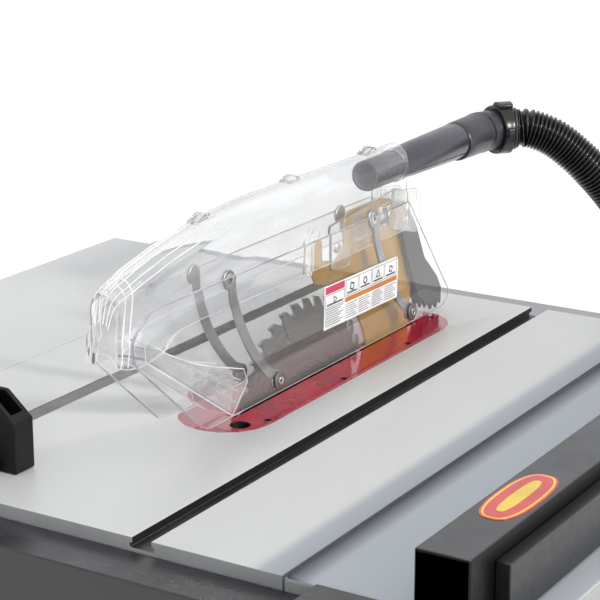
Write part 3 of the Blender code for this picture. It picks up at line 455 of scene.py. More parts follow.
def blade_steel():
    """Ground blade steel with fine rings round the arbor and patches of painted pinkish reflection.
    """
    made = Recipe("blade_ground_steel", (0.4, 0.39, 0.385), 0.3, 1)
    shift = made.add("Mapping", Vector=made.coords, Location=(0, 0, -ARBOR_Z * MM))
    length = made.add("VectorMath")
    length.operation = "LENGTH"
    made.fill(length.inputs[0], shift.outputs["Vector"])
    node = made.add("TexNoise")
    node.noise_dimensions = "1D"
    for key, value in (("Scale", 900), ("Detail", 5), ("W", length.outputs["Value"])):
        made.fill(node.inputs[key], value)
    rings = node.outputs["Fac"]
    made.base = made.mixed(made.ranged(rings, 0, 1), (0.215, 0.21, 0.205), (0.25, 0.245, 0.24))
    # Painted reflection: pinkish patches laid over the steel.
    made.over(made.ranged(made.noise(18), 0, 0.5), (0.28, 0.245, 0.25))
    made.put("Roughness", made.ranged(rings, 0.26, 0.4))
    return made.bump(0.03, 0, 0.0001, height=rings).mat


IRON_COLOR = (0.62, 0.622, 0.62)
ALONG = (1, 0.03, 1)
# The third argument paints the fence's shadow on each iron; the wing's iron also paints shade
# beside its seam.
IRON = ground_iron("ground_iron", IRON_COLOR, (0.209, 0.22, (0.42, 0.445, 0.485)))
IRON_WING = ground_iron("ground_iron_wing", IRON_COLOR, (0.23, 0.231, (0.5, 0.525, 0.565)),
                        (0.244, 0.266))
IRON_SKIRT = cast_paint("cast_skirt", (0.34, 0.345, 0.35))
SLOT_BLACK = Recipe("slot_black", (0.005, 0.005, 0.005), 0.5)
SLOT_BLACK = SLOT_BLACK.vary(0.4, 60).roughen(0.1, 80).bump(0.3, 500).mat
SLOT_WALL = metal("slot_wall", (0.3, 0.29, 0.28), 0.42, ALONG)
SLOT_FLOOR = metal("slot_floor", (0.17, 0.165, 0.16), 0.45, ALONG)
CABINET = paint("cabinet_white", (0.78, 0.78, 0.755))
BLACK_PAINT = paint("black_enamel", (0.02, 0.02, 0.022), 0.3, 0.2)
FENCE_TOP = paint("fence_enamel", (0.04, 0.04, 0.043), 0.36, 0.25)
RAIL_GREY = paint("rail_grey", (0.28, 0.28, 0.295), 0.35)
GREY_CAST = cast_paint("grey_cast", (0.27, 0.28, 0.29))
STEEL = metal("machined_steel_look", (0.58, 0.57, 0.56), 0.28, (0.06, 1, 1))
BAR_STEEL = metal("mitre_bar_steel", (0.2, 0.19, 0.178), 0.36, (1, 0.04, 1))
BLADE = blade_steel()
CARBIDE = metal("carbide", (0.13, 0.13, 0.135), 0.4)
RED = Recipe("red_throat", (0.4, 0.006, 0.028), 0.2).vary(0.22, 16, tint=(0.26, 0.005, 0.028))
RED = RED.roughen(0.06, 50).bump(0.1, 120, 0.0006).coat(0.8, 0.05).mat
CLEAR = clear_plastic("clear_hood", (0.885, 0.89, 0.895), 0.015, 0.03, 0.22, (1, 0.12, 1), 40,
                      (0.55, 0.54, 0.6))
CLEAR_PANEL = clear_plastic("clear_panel", (0.975, 0.975, 0.98), 0.01, 0.012, 0.15, (1, 0.5, 1), 9,
                            shine=0.1)
CLEAR_EDGE = clear_plastic("clear_panel_edge", (0.72, 0.69, 0.77), 0.1, 0.5)
CLEAR_RIB = clear_plastic("clear_rib", (0.94, 0.94, 0.945), 0.03, 0.1, 0.3)
CLEAR_LIP = clear_plastic("clear_lip", (0.9, 0.89, 0.9), 0.05, 0.38, 0.2)
YELLOW = Recipe("yellow_enamel", (0.38, 0.215, 0.016), 0.34, 0.25)
YELLOW.vary(0.14, 22, tint=(0.3, 0.16, 0.011)).roughen(0.07, 80).bump(0.12, 700, 0.0003)
YELLOW = YELLOW.coat(0.35, 0.15).mat
LINK_GREY = metal("link_cast_alloy", (0.37, 0.365, 0.37), 0.38, scale=300)
FLANGE = metal("rivet_flange", (0.24, 0.225, 0.215), 0.45)
EYELET = metal("eyelet_steel", (0.66, 0.65, 0.64), 0.22)
PAWL_STEEL = plastic("pawl_steel", (0.008, 0.008, 0.014), 0.5)
MITRE_BLACK = plastic("mitre_enamel", (0.003, 0.003, 0.0035), 0.42, 0.2, shine=0.25)
BLACK_PLASTIC = plastic("black_moulding", (0.006, 0.006, 0.007), 0.3, 0.22, 0.12)
TUBE_GREY = plastic("tube_moulding", (0.026, 0.026, 0.037), 0.3, 0.04, 0.25)
TUBE_INSIDE = plastic("tube_inside", (0.19, 0.2, 0.25), 0.5, 0.1)
CUFF_GREY = plastic("cuff_rubber", (0.026, 0.026, 0.034), 0.36, 0.15, 0.15)
HOSE = plastic("hose_moulding", (0.004, 0.004, 0.006), 0.2, 0.04, 0.15)
RUBBER = plastic("belt_rubber_look", (0.022, 0.021, 0.02), 0.75, 0.6)
BOARD = plastic("fence_laminate", (0.01, 0.01, 0.011), 0.36, 0.12, 0.05)
STOP_RED = plastic("stop_red_look", (0.62, 0.02, 0.02), 0.3, 0.15, 0.4)
START_GREEN = plastic("start_green_look", (0.03, 0.38, 0.08), 0.3, 0.15, 0.4)
LABEL_WHITE = plastic("label_paper", (0.76, 0.76, 0.775), 0.35, 0.05, 0.3)
LABEL_RED = plastic("label_red", (0.52, 0.02, 0.1), 0.35, 0.05, 0.3)
LABEL_ORANGE = plastic("label_orange", (0.5, 0.155, 0.01), 0.35, 0.05, 0.3)
LABEL_INK = plastic("label_ink", (0.035, 0.035, 0.04), 0.4, 0.05, 0.3)
LABEL_LINE = plastic("label_line", (0.2, 0.2, 0.22), 0.4, 0.05, 0.3)
BADGE_YELLOW = plastic("badge_yellow", (0.9, 0.6, 0.02), 0.3, 0.05, 0.5)
BADGE_RED = plastic("badge_red", (0.66, 0.03, 0.03), 0.3, 0.05, 0.5)

LOOKS = {
    "cast_iron_top": IRON_WING, "cabinet_paint": CABINET, "black_paint": BLACK_PAINT,
    "grey_casting": GREY_CAST, "machined_steel": STEEL, "blade_steel": BLADE, "red_insert": RED,
    "clear_guard": CLEAR, "yellow_knife": YELLOW, "link_grey": LINK_GREY, "dark_steel": PAWL_STEEL,
    "black_plastic": BLACK_PLASTIC, "tube_grey": TUBE_GREY, "hose_black": HOSE,
    "belt_rubber": RUBBER, "fence_board": BOARD, "stop_red": STOP_RED, "start_green": START_GREEN,
}
for node_name, node in frame["nodes"].items():
    node.data.materials.clear()
    node.data.materials.append(LOOKS[SLOT_OF[node_name]])

# ---- dust hose
CUFF_START = Vector((0, 330.5, 181.5))
CUFF_STRAIGHT = CUFF_BEND = 56
CUFF_TURN = radians(58.5)
CUFF_LENGTH = CUFF_STRAIGHT + CUFF_BEND * CUFF_TURN
CUFF_END_WAY = Vector((sin(CUFF_TURN), cos(CUFF_TURN), 0))


def on_cuff(along, aside=0, up=0):
    """A point beside the cuff's middle line, which runs straight and then turns to the right."""
    turn = max(along - CUFF_STRAIGHT, 0) / CUFF_BEND
    reach = CUFF_BEND * (1 - cos(turn)) + aside * cos(turn)
    forward = min(along, CUFF_STRAIGHT) + CUFF_BEND * sin(turn) - aside * sin(turn)
    return CUFF_START + Vector((reach, forward, up))


HOSE_ROUTE = (
    on_cuff(CUFF_LENGTH) + CUFF_END_WAY * 2.5, on_cuff(CUFF_LENGTH) + CUFF_END_WAY * 15,
    (60.7, 454.8, 172.5), (79.5, 466.3, 157.3), (103.4, 480.9, 131.5), (125, 505, 95),
    (140, 545, 45), (140, 590, -15), (128, 625, -85), (105, 645, -160), (78, 648, -240),
    (50, 630, -320), (28, 590, -390), (12, 530, -445), (3, 460, -474), (0, 391.5, -480),
)
SPANS, FINER = 4, 8
HOSE_RADIUS = 22.5
RIB_PITCH, RIB_DEPTH, RIB_STEPS = 4.6, 3.2, 8


def ribbed_hose(node, route):
    """A ribbed hose along one share of the hose's route, standing for the node."""
    points = even_steps(route, RIB_PITCH / RIB_STEPS)
    waves = [0.5 - 0.5 * cos(2 * pi * i / RIB_STEPS) for i in range(len(points))]
    radii = [HOSE_RADIUS - RIB_DEPTH * wave**1.3 for wave in waves]
    piece = new_piece(node + "_ribbed", tube(points, radii, 40), HOSE, smooth=60)
    world = [DATUM + p * MM for p in points]
    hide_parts(node)
    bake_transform(piece)
    path = [tuple(p) for p in world[::12]]
    if (world[-1] - world[::12][-1]).length > 1e-6:
        path.append(tuple(world[-1]))
    if node == "lower_hose":
        path.reverse()


def bent(name, data, mat=BLACK_PLASTIC, nodes=(), **more):
    """A piece of the cuff, built straight along Y and laid along the cuff's bent middle line."""
    verts, faces = data
    data = [on_cuff(y, x, z) for x, y, z in verts], faces
    return new_piece(name, data, mat, "carriage", "black_plastic", nodes, **more)


def cuff():
    """Soft stepped cuff of the hose, its strap and the strap's lug."""
    profile = [(18.8, 0.6), (20.6, 0.1), (21.4, 1.2), (21.9, 3), (22.2, 15), (22.5, 30), (22.8, 50),
               (23.3, 55), (23.6, 57.5), (23.2, 59.5), (21.7, 60.5), (21.7, 63), (22.6, 64.2)]
    profile += [(22.9, 68 + 4 * i) for i in range(11)]
    profile += [(23.8, 109.2), (24, 111), (23.5, 112.6), (21.2, CUFF_LENGTH - 0.1)]
    groove = [(22.2, 60), (23.4, 60.2), (23.4, 63.2), (22.2, 63.4)]
    strap = [(22.7, 84.5), (26.8, 83.8), (27.9, 85)] + [(28.3, 88 + 3.5 * i) for i in range(5)]
    strap += [(27.9, 105.2), (26.8, 106.2), (22.7, 105.8), (22.7, 99), (22.7, 92)]
    lug = rounded([(-10, 25.5, 2), (11, 25.5, 2), (13, 30.8, 2), (-2, 32, 3)], 3)
    ear = rounded([(23.5, -6, 2), (30, -5, 2), (30, 6, 2), (23.5, 7, 2)], 3)
    axis = (0, 0)
    return [
        bent("guard_cuff_rubber", turned("Y", axis, profile, 56), CUFF_GREY, ["guard_cuff"]),
        bent("cuff_groove_ring", turned("Y", axis, groove, 48, True)),
        bent("cuff_strap", turned("Y", axis, strap, 56, True)),
        bent("cuff_strap_lug", prism(lug, "Y", 87, 106), edge=[0.9]),
        bent("cuff_strap_ear", prism(ear, "Y", 88, 104), edge=[0.9]),
    ]


cuff_pieces = cuff()
hose_line = smooth_rows(HOSE_ROUTE, SPANS * FINER, True)
hose_middle = SPANS * (len(HOSE_ROUTE) // 2)
hose_inside = [on_cuff(96 + 4 * i) for i in range(5)]
ribbed_hose("upper_hose", hose_inside + hose_line[: (hose_middle - 2) * FINER + 1])
ribbed_hose("lower_hose", hose_line[(hose_middle + 2) * FINER :])


# ---- CAD nodes with finished edges
def from_node(name, node, width, mats=None, choose=None, segments=2, angle=32):
    """A copy of a CAD node with its flat faces merged and its edges rounded, standing for it.

    choose gives each face's material number from its centre and normal, in metres.
    """
    mesh = frame["nodes"][node].data.copy()
    mesh.name = name
    mesh.materials.clear()
    for mat in mats or [LOOKS[SLOT_OF[node]]]:
        mesh.materials.append(mat)
    form = bmesh.new()
    form.from_mesh(mesh)
    bmesh.ops.remove_doubles(form, verts=form.verts, dist=2e-5)
    bmesh.ops.dissolve_limit(form, angle_limit=radians(1), verts=form.verts, edges=form.edges)
    bmesh.ops.translate(form, vec=-DATUM, verts=form.verts)
    if choose:
        for face in form.faces:
            face.material_index = choose(face.calc_center_median(), face.normal)
    form.to_mesh(mesh)
    form.free()
    shade(mesh, 35)
    piece = add_object(name, mesh)
    soften(piece, width, segments, angle)
    settle(piece, BODY_OF[node], SLOT_OF[node], [node])


SLOT_CENTRES = (-0.1595, 0.10415)


def table_face(center, normal):
    """0 ground top, 1 cast skirt, 2 black slot side, 3 slot's right wall, 4 slot floor."""
    near = min(abs(center.x - c) for c in SLOT_CENTRES)
    if -0.01 < center.z < -0.0003 and near < 0.013:
        if normal.z > 0.5:
            return 4
        return 3 if normal.x < -0.5 and center.z > -0.005 else 2
    return 0 if center.z > -0.0005 else 1


def wing_face(center, normal):
    return 0 if center.z > -0.002 else 1


# Fence beam faces: 0 the top, 1 the sides. The sides take the near-black mitre enamel against the
# lighter top enamel, as painted shade on the sides.
def beam_face(center, normal):
    return 0 if normal.z > 0.5 else 1


TABLE_MATS = [IRON, IRON_SKIRT, SLOT_BLACK, SLOT_WALL, SLOT_FLOOR]
from_node("table_top_ground", "table_top", 0.9, TABLE_MATS, table_face)
for side_name, round_edge in (("left", 0.4), ("right", 8.5)):
    from_node(f"{side_name}_wing_ground", f"{side_name}_wing", round_edge, [IRON_WING, IRON_SKIRT],
              wing_face, 5)
EDGE_WIDTHS = {
    "front_rail": 2, "rear_rail": 0.6, "fence_beam": 3, "fence_left_face": 1,
    "fence_right_face": 1, "fence_head": 3, "fence_handle": 2, "cabinet": 1.2, "plinth": 3,
    "motor_door": 3, "door_latch": 1, "dust_port": 0.8, "switch_box": 4, "start_button": 0.6,
    "stop_paddle": 1.5, "mitre_bar": 0.5, "mitre_knob": 1, "carriage": 1.5, "motor": 1.5,
    "motor_pulley": 0.6, "drive_belt": 0.6, "tilt_cradle": 1.2, "front_trunnion": 1.5,
    "rear_trunnion": 1.5, "lift_screw": 0.3, "lift_handwheel": 1.8, "lift_crank_knob": 1,
    "tilt_handwheel": 1.8, "tilt_crank_knob": 1, "arbor_shaft": 0.5, "outer_flange": 0.4,
    "arbor_nut": 0.4, "arbor_pulley": 0.6, "left_bearing": 0.6, "right_bearing": 0.6,
    "knife_clamp": 0.8, "knife_release_lever": 1.2, "guard_cheek": 0.4, "hose_coupler": 1,
}
# The fence beam's sides take the darker mitre enamel as painted shade.
SPECIAL = {"rear_rail": [RAIL_GREY], "mitre_bar": [BAR_STEEL], "hose_coupler": [CUFF_GREY],
           "fence_beam": [FENCE_TOP, MITRE_BLACK]}
for node_name, width in EDGE_WIDTHS.items():
    choose = beam_face if node_name == "fence_beam" else None
    from_node(node_name + "_finished", node_name, width, SPECIAL.get(node_name), choose)

# ---- blade
BLADE_R = 127
TEETH, FIRST_TIP = 36, 98.5
SLITS, FIRST_SLIT = 4, 107.4
TOOTH = ((0, 0), (-0.7, 4), (-1.6, 8.7), (-1.5, 10.8), (-0.4, 11.6), (0.8, 10.8), (3, 6.8),
         (4.6, 3), (6.2, 1))
TIP = ((0, 0), (-1.05, 5.8), (-2.1, 5.6), (-1.6, 0.8))


def on_blade(depth, degrees):
    """A point that deep inside the circle of the tips."""
    angle, radius = radians(degrees), BLADE_R - depth
    return (radius * cos(angle), ARBOR_Z + radius * sin(angle))


def blade():
    """Toothed disc with hooked gullets, carbide tips and thin expansion slots."""
    tips = [FIRST_TIP + 360 / TEETH * i for i in range(TEETH)]
    outline = [on_blade(depth, tip + turn) for tip in tips for turn, depth in TOOTH]
    outline.reverse()
    disc = new_piece("blade_disc", prism(outline, "X", -1.2, 1.2), BLADE, smooth=30)
    cutters = [(prism(circle((0, ARBOR_Z), 8.1, 48), "X", -10, 10), BLADE)]
    for k in range(SLITS):
        at = FIRST_SLIT + 360 / SLITS * k
        low, high = Vector(on_blade(35, at - 1.8)), Vector(on_blade(11.5, at))
        past = high + (high - low).normalized() * 6
        cutters.append((strip(low, past, 0.8, "X", -10, 10), BLADE))
        cutters.append((prism(circle(low, 2.7, 20), "X", -10, 10), BLADE))
    cut(disc, cutters)
    soften(disc, 0.2, 1)
    settle(disc, "arbor", "blade_steel", ["blade"])
    cutting = [prism([on_blade(depth, tip + turn) for turn, depth in TIP], "X", -1.6, 1.6)
               for tip in tips]
    new_piece("carbide_tips", joined(cutting), CARBIDE, "arbor", "blade_steel", smooth=0)


blade()

# ---- throat insert
LEVEL_SCREWS = ((40, -123), (39.5, 20), (39.5, 155), (-36, -123), (-36, 20), (-36, 155),
                (16, 252), (-16, 252))
INSERT_HALF, INSERT_FRONT, INSERT_REAR = 47.5, -179, 268


def insert():
    """The plate with its slanted blade slot, finger hole, hollow and levelling screws."""
    half = INSERT_HALF
    outline = arc((0, INSERT_FRONT + half), half, 180, 360, 72)
    outline += arc((0, INSERT_REAR - half), half, 0, 180, 72)
    plate = new_piece("throat_insert", prism(outline, "Z", -12, 0), RED, smooth=30)
    slot = [(-4.5, 10), (-4.5, -20), (36, -20), (9.5, 0.5), (9.5, 10)]
    # The finger hole and the screw holes are cut with black, so their walls show painted shade
    # instead of the insert's red.
    cutters = [(prism(slot, "Y", -133, 236), RED),
               (prism(circle((25, -148), 10, 40), "Z", -20, 10), SLOT_BLACK),
               (box((0, -30, -20), (41.5, 30, -1.2)), RED)]
    cutters += [(prism(circle(at, 3.6, 20), "Z", -3.5, 10), SLOT_BLACK) for at in LEVEL_SCREWS]
    cut(plate, cutters)
    soften(plate, 1.1, 3)
    settle(plate, "stand", "red_insert", ["insert_plate"])
    screw = [(3.1, -3.4), (3.1, -1.7), (2.6, -1.2), (1.4, -1.2), (1.4, -2.6), (0, -2.6)]
    screws = joined([turned("Z", at, screw, 20) for at in LEVEL_SCREWS])
    new_piece("insert_level_screws", screws, PAWL_STEEL, "stand", "red_insert")


insert()

# ---- riving knife and what is bolted to it
PAWL_PIVOT = (198, 124)


def guard_piece(name, data, mat=CLEAR_RIB, nodes=(), **more):
    return new_piece(name, data, mat, "carriage", "clear_guard", nodes, **more)


def knife():
    inner = arc((0, ARBOR_Z), 138, 79, -26, 40)
    foot = (180, -105)
    outline = rounded([
        (16.5, 106.5, 3), (16.5, 131.5, 3), (24, 134.5, 2), (37, 135, 2), (38, 113, 3),
        (62, 108, 5), (78, 120, 8), (82, 145, 6), (93, 153, 6), (160, 153, 10), (204, 142, 10),
        (209, 118, 20), (221, 69, 50), (227.8, 42, 40), (226, 10, 40), (206, -60, 40),
        (*foot, 0)])
    new_piece("riving_knife_plate", prism(outline + inner[::-1], "X", -1.15, 1.15), YELLOW,
              "carriage", "yellow_knife", ["riving_knife"], 25, [0.5])
    pin = [(0, -10.5), (2.6, -10.5), (3, -10.1), (3, 10.1), (2.6, 10.5), (0, 10.5)]
    new_piece("pawl_pivot_pin", turned("X", PAWL_PIVOT, pin, 24), EYELET, "carriage",
              "yellow_knife")


def knife_hardware():
    """Screws on the knife, and the hooks, cheeks and ribs that the clear hood clips to."""
    head = [(5.2, 4.8), (5.2, 6.6), (4.472, 7.65), (3.64, 7.8), (2.184, 7.8), (2.184, 5.85),
            (0, 5.85)]
    drive = [(0, 5.55), (2.1, 5.6), (0, 5.65)]
    screws = []
    for at in ((59, 122.5), (143, 132)):
        screws += [(0, *turned("X", at, head, 28)), (1, *turned("X", at, drive, 6))]
    new_piece("spreader_screws", joined(screws), [EYELET, PAWL_STEEL], "carriage",
              "machined_steel")
    hook = rounded([(8, 104, 3), (12, 141, 6), (23, 150, 6), (33, 143, 4), (29, 138.5, 2),
                    (22.5, 142.5, 3), (17.5, 137, 4), (14.5, 104, 2)], 4)
    for index, x in enumerate((1.6, -4.2)):
        guard_piece(f"hood_hook_{index}", prism(hook, "X", x, x + 2.6), edge=[0.6])
    cheek = rounded([(164, 161, 4), (227, 152, 6), (230, 108, 6), (212, 106, 3), (164, 120, 4)], 5)
    for side_name, side in SIDES[::-1]:
        guard_piece(f"latch_cheek_{side_name[0]}", prism(cheek, "X", *mirrored(side, 11.4, 13.8)),
                    edge=[0.7])
    ribs = []
    for i in range(8):
        y, top = 168 + 7.2 * i, 159 - 1.3 * i
        for low, high in ((-11.2, -8.6), (8.6, 11.2)):
            ribs.append(box((low, y, top - 13), (high, y + 1.8, top)))
    guard_piece("latch_ribs", joined(ribs), smooth=0)


def pawls():
    outline = rounded([
        (190, 118, 3), (194, 132, 5), (208, 132, 4), (231, 101, 12), (247, 69, 12), (276, 42, 10),
        (287, 26, 6), (286.5, 6.5, 0), (281.2, 11.5, 0), (276.2, 3.5, 0), (270.5, 11.5, 0),
        (263.2, 5, 0), (257.8, 15, 0), (250.2, 10, 0), (246.2, 19.5, 0), (234, 27, 3),
        (213, 66, 20)], 5)
    for side_name, side in SIDES:
        node = f"{side_name}_pawl"
        piece = new_piece(f"{node}_plate", prism(outline, "X", *mirrored(side, 5, 8)), PAWL_STEEL,
                          smooth=25)
        cut(piece, [(prism(circle(PAWL_PIVOT, 3.4, 24), "X", -20, 20), PAWL_STEEL)])
        soften(piece, 0.4)
        settle(piece, node, "dark_steel", [node])


knife()
knife_hardware()
pawls()

# ---- clear hood: Y, height of the foot, height of the crown, half width
HOOD_LINE = (
    (-327, 116, 144, 8.5), (-323.5, 106, 164, 13), (-315, 101, 171.5, 15.5),
    (-300, 98.5, 176.5, 17.2), (-282, 100, 182.5, 18.2), (-262, 104, 187, 18.4),
    (-243, 115, 191.5, 18.4), (-210, 118, 197, 18.4), (-170, 117.8, 203, 18.4),
    (-120, 117.2, 207.5, 18.4), (-70, 116.8, 208.5, 18.4), (0, 116.5, 207.8, 18.4),
    (70, 116.5, 207.2, 18.4), (130, 116.5, 207, 18.4), (190, 116.5, 206.8, 18.4),
)
HOOD_CLIPS = ((-175, 202.6, 1.2), (-18, 207.2, 0), (134, 207.2, 0))
WALL = 2.1
STEP = 1.2
STEP_FROM_HALF = 15
NOSE_Y = -320
NOZZLE_Z = 182.5


def dome_of(half):
    return half - (STEP if half > STEP_FROM_HALF else 0)


def hood_section(foot, crown, half, inset, steps=14):
    """Open arch in X, Z: a skirt, a small moulded step, then a dome. inset moves it inwards."""
    ledge = max(foot + 8, crown - 52)
    low_half, dome = half - inset, dome_of(half) - inset
    spring = crown - inset - dome
    ledge = min(ledge, spring - 4)
    right = [(low_half, foot), (low_half, ledge - 1.2), (dome, ledge + 0.8), (dome, spring)]
    top = arc((0, spring), dome, 0, 180, steps)[1:-1]
    return right + top + [(-x, z) for x, z in reversed(right)]


def shell(rows):
    """A closed wall between an outer and an inner open section, repeated along Y."""
    verts, faces = [], []
    count = len(rows[0][1])
    block = 2 * count
    for y, outer, y_in, inner in rows:
        verts += [(x, y, z) for x, z in outer] + [(x, y_in, z) for x, z in inner]
    for a in range(0, (len(rows) - 1) * block, block):
        b = a + block
        for i in range(count - 1):
            faces.append((a + i, a + i + 1, b + i + 1, b + i))
            faces.append((a + count + i + 1, a + count + i, b + count + i, b + count + i + 1))
        faces.append((a + count, a, b, b + count))
        faces.append((a + count - 1, a + block - 1, b + block - 1, b + count - 1))
    last = (len(rows) - 1) * block
    for i in range(last, last + count - 1):
        faces.append((i, i + 1, count + i + 1, count + i))
    faces += [tuple(range(count)), tuple(range(count, block)), (0, count, block - 1, count - 1)]
    return verts, faces


def hood():
    """The shell with its collar, clips, thick lower rims, moulded creases and nose beads."""
    rows = []
    line = smooth_rows(HOOD_LINE, 4)
    for y, foot, crown, half in line:
        outer, inner = (hood_section(foot, crown, half, inset) for inset in (0, WALL))
        rows.append((y, outer, y + (WALL if y < NOSE_Y else 0), inner))
    guard_piece("hood_shell", shell(rows), CLEAR, ["guard_hood"], smooth=40)
    collar = [(16.6, 184.5), (17.6, 184), (18.1, 190), (18.1, 191.5), (16.6, 192)]
    guard_piece("hood_collar", turned("Y", (0, NOZZLE_Z), collar, 56, True), CLEAR, smooth=50)
    for index, (y, crown, tilt) in enumerate(HOOD_CLIPS):
        clip = rounded([(y - 13, crown - 1 - tilt, 0), (y - 5, crown + 3.4, 3),
                        (y + 4, crown + 5.2, 2.5), (y + 8, crown + 3.6 + tilt, 2),
                        (y + 9.5, crown - 0.8 + tilt, 0)], 4)
        guard_piece(f"hood_clip_{index}", prism(clip, "X", -6.8, 6.8), edge=[1.2])
    for side_name, side in SIDES[::-1]:
        rim = [Vector((side * (half + 0.6), y, foot))
               for y, foot, crown, half in smooth_rows(HOOD_LINE, 3)]
        guard_piece(f"hood_rim_{side_name[0]}", tube(rim, 0.7, 8), smooth=80)
    for index, turn in enumerate(map(radians, (22, 44, 68, 96, 128))):
        crease = []
        for y, foot, crown, half in line[:34]:
            reach = dome_of(half) + 0.2
            height = crown - dome_of(half) + reach * sin(turn)
            crease.append(Vector((reach * cos(turn), y, height)))
        guard_piece(f"hood_crease_{index}", tube(crease, 0.55, 6), CLEAR_LIP, smooth=80)
    for index, place in enumerate((-317, -308, -299)):
        y, foot, crown, half = min(smooth_rows(HOOD_LINE, 12), key=lambda row: abs(row[0] - place))
        section = hood_section(foot + 4, crown, half, -0.4, 20)
        bead = [Vector((x, y + (z - crown) * 0.18, z)) for x, z in section]
        guard_piece(f"hood_bead_{index}", tube(bead, 0.65, 8, (0, 1, 0)),
                    CLEAR_LIP if index else CLEAR_RIB, smooth=80)


def nozzle():
    """Dust tube with a real bore, a moulding seam along its side and a pale inside."""
    bore = [(18, 328.5), (13.9, 208), (13.9, 128)]
    outer = [(13.9, 128), (15.8, 128), (16, 128.4), (16.3, 180), (18.3, 225), (20.4, 327.5),
             (20.2, 328.5), (18, 328.5)]
    lining = [(13.8, 128.6), (13.8, 208), (17.6, 324), (17.4, 324), (13.6, 208), (13.6, 128.6)]
    turn = radians(-32)
    seam = [Vector((r * cos(turn), y, NOZZLE_Z + r * sin(turn)))
            for y, r in ((131, 16), (180, 16.3), (225, 18.3), (326, 20.4))]
    for name, data, mat, nodes, smooth in (
        ("dust_tube", turned("Y", (0, NOZZLE_Z), outer + bore[1:-1], 64, True), TUBE_GREY,
         ["dust_nozzle"], 40),
        ("dust_tube_lining", turned("Y", (0, NOZZLE_Z), lining, 64, True), TUBE_INSIDE, (), 40),
        ("dust_tube_seam", tube(seam, 0.45, 6), BLACK_PLASTIC, (), 80),
    ):
        new_piece(name, data, mat, "carriage", "tube_grey", nodes, smooth)


hood()
nozzle()

# ---- side panels, links and eyelets
PANEL = ((-206, 12, 35), (-311, 104, 20), (-318, 126, 18), (-286, 148, 20), (181, 148, 3),
         (279, 24, 10), (262, 12, 6))
PANEL_IN, PANEL_OUT = 22.5, 25.5
LINK_IN, LINK_OUT = 18.8, 22.1
LINK_TOP, LINK_FOOT, LINK_SPAN = Vector((-159, 144.3)), Vector((-79, 24.5)), 268
# RIVET rows: the flange, the eyelet, and a black disc in the eyelet's hole that paints the shade of
# the hollow.
RIVET = (
    (FLANGE, 44, True, ((3.6, 0), (8.6, 0), (9, 0.4), (8.9, 1.4), (8.2, 1.8), (3.6, 1.8))),
    (EYELET, 36, True, ((2.2, 0.2), (3.7, 0.2), (4.2, 2), (4, 2.7), (3.4, 3), (2.7, 2.8),
                        (2.2, 1.6))),
    (SLOT_BLACK, 24, False, ((0, 0.3), (2.3, 0.3), (2.3, 1), (0, 1))),
)


def on_face(profile, face, side):
    """A profile whose distances are measured outwards from a face at X = side * face."""
    return [(radius, side * (face + height)) for radius, height in profile]


def panel(side_name, side):
    verts, faces = prism(rounded(PANEL, 14), "X", *mirrored(side, PANEL_IN, PANEL_OUT))
    marks = [0, 0] + [1] * (len(faces) - 2)
    body = f"{side_name}_panel"
    new_piece(f"{body}_sheet", (verts, faces, marks), [CLEAR_PANEL, CLEAR_EDGE], body,
              "clear_guard", [f"{side_name}_side_panel"], 25, (0.6, 2, 40))
    rivets = []
    for shift in (0, LINK_SPAN):
        at = LINK_FOOT + Vector((shift, 0))
        for index, (_, sides, ring, profile) in enumerate(RIVET):
            profile = on_face(profile, PANEL_OUT + 0.1, side)
            rivets.append((index, *turned("X", at, profile, sides, ring)))
    new_piece(f"{body}_rivets", joined(rivets), [row[0] for row in RIVET], body, "machined_steel")


def link_shape(top, foot, eye=9.5, half=5.5, bow=13):
    """Two eyes joined by a bowed arm."""
    way = foot - top
    across = Vector((way.y, -way.x)).normalized()
    heading = degrees(atan2(way.y, way.x))
    shares = [0.12 + 0.76 * i / 14 for i in range(15)]
    middle = [(top + way * t, bow * 4 * t * (1 - t)) for t in shares]
    out = arc(top, eye, heading + 38, heading + 322, 28)
    out += [tuple(at + across * (aside + half)) for at, aside in middle]
    out += arc(foot, eye, heading - 142, heading + 142, 28)
    return out + [tuple(at + across * (aside - half)) for at, aside in reversed(middle)]


def link(side_name, side, place, shift):
    body = f"{side_name}_{place}_arm"
    top, foot = LINK_TOP + Vector((shift, 0)), LINK_FOOT + Vector((shift, 0))
    arm = prism(link_shape(top, foot), "X", *mirrored(side, LINK_IN, LINK_OUT))
    new_piece(body, arm, LINK_GREY, body, "link_grey", [f"{side_name}_{place}_link"], 30,
              (0.9, 3, 35))
    bolt = [(0, -0.4), (2.4, -0.4), (2.6, 0.2), (5.2, 0.28), (6, 0), (0, -0.6)]
    # The socket is a shallow black hexagon in the bolt's dip: painted shade of a hex recess that is
    # not cut.
    recess = [(0, 0.05), (2.2, 0.05), (0, -0.2)]
    for name, profile, sides, mat in (("bolt", bolt, 32, EYELET),
                                      ("socket", recess, 6, SLOT_BLACK)):
        data = turned("X", top, on_face(profile, LINK_OUT, side), sides)
        new_piece(f"{side_name}_{place}_{name}", data, mat, body, "machined_steel")


for side_name, side in SIDES:
    panel(side_name, side)
    link(side_name, side, "front", 0)
    link(side_name, side, "rear", LINK_SPAN)


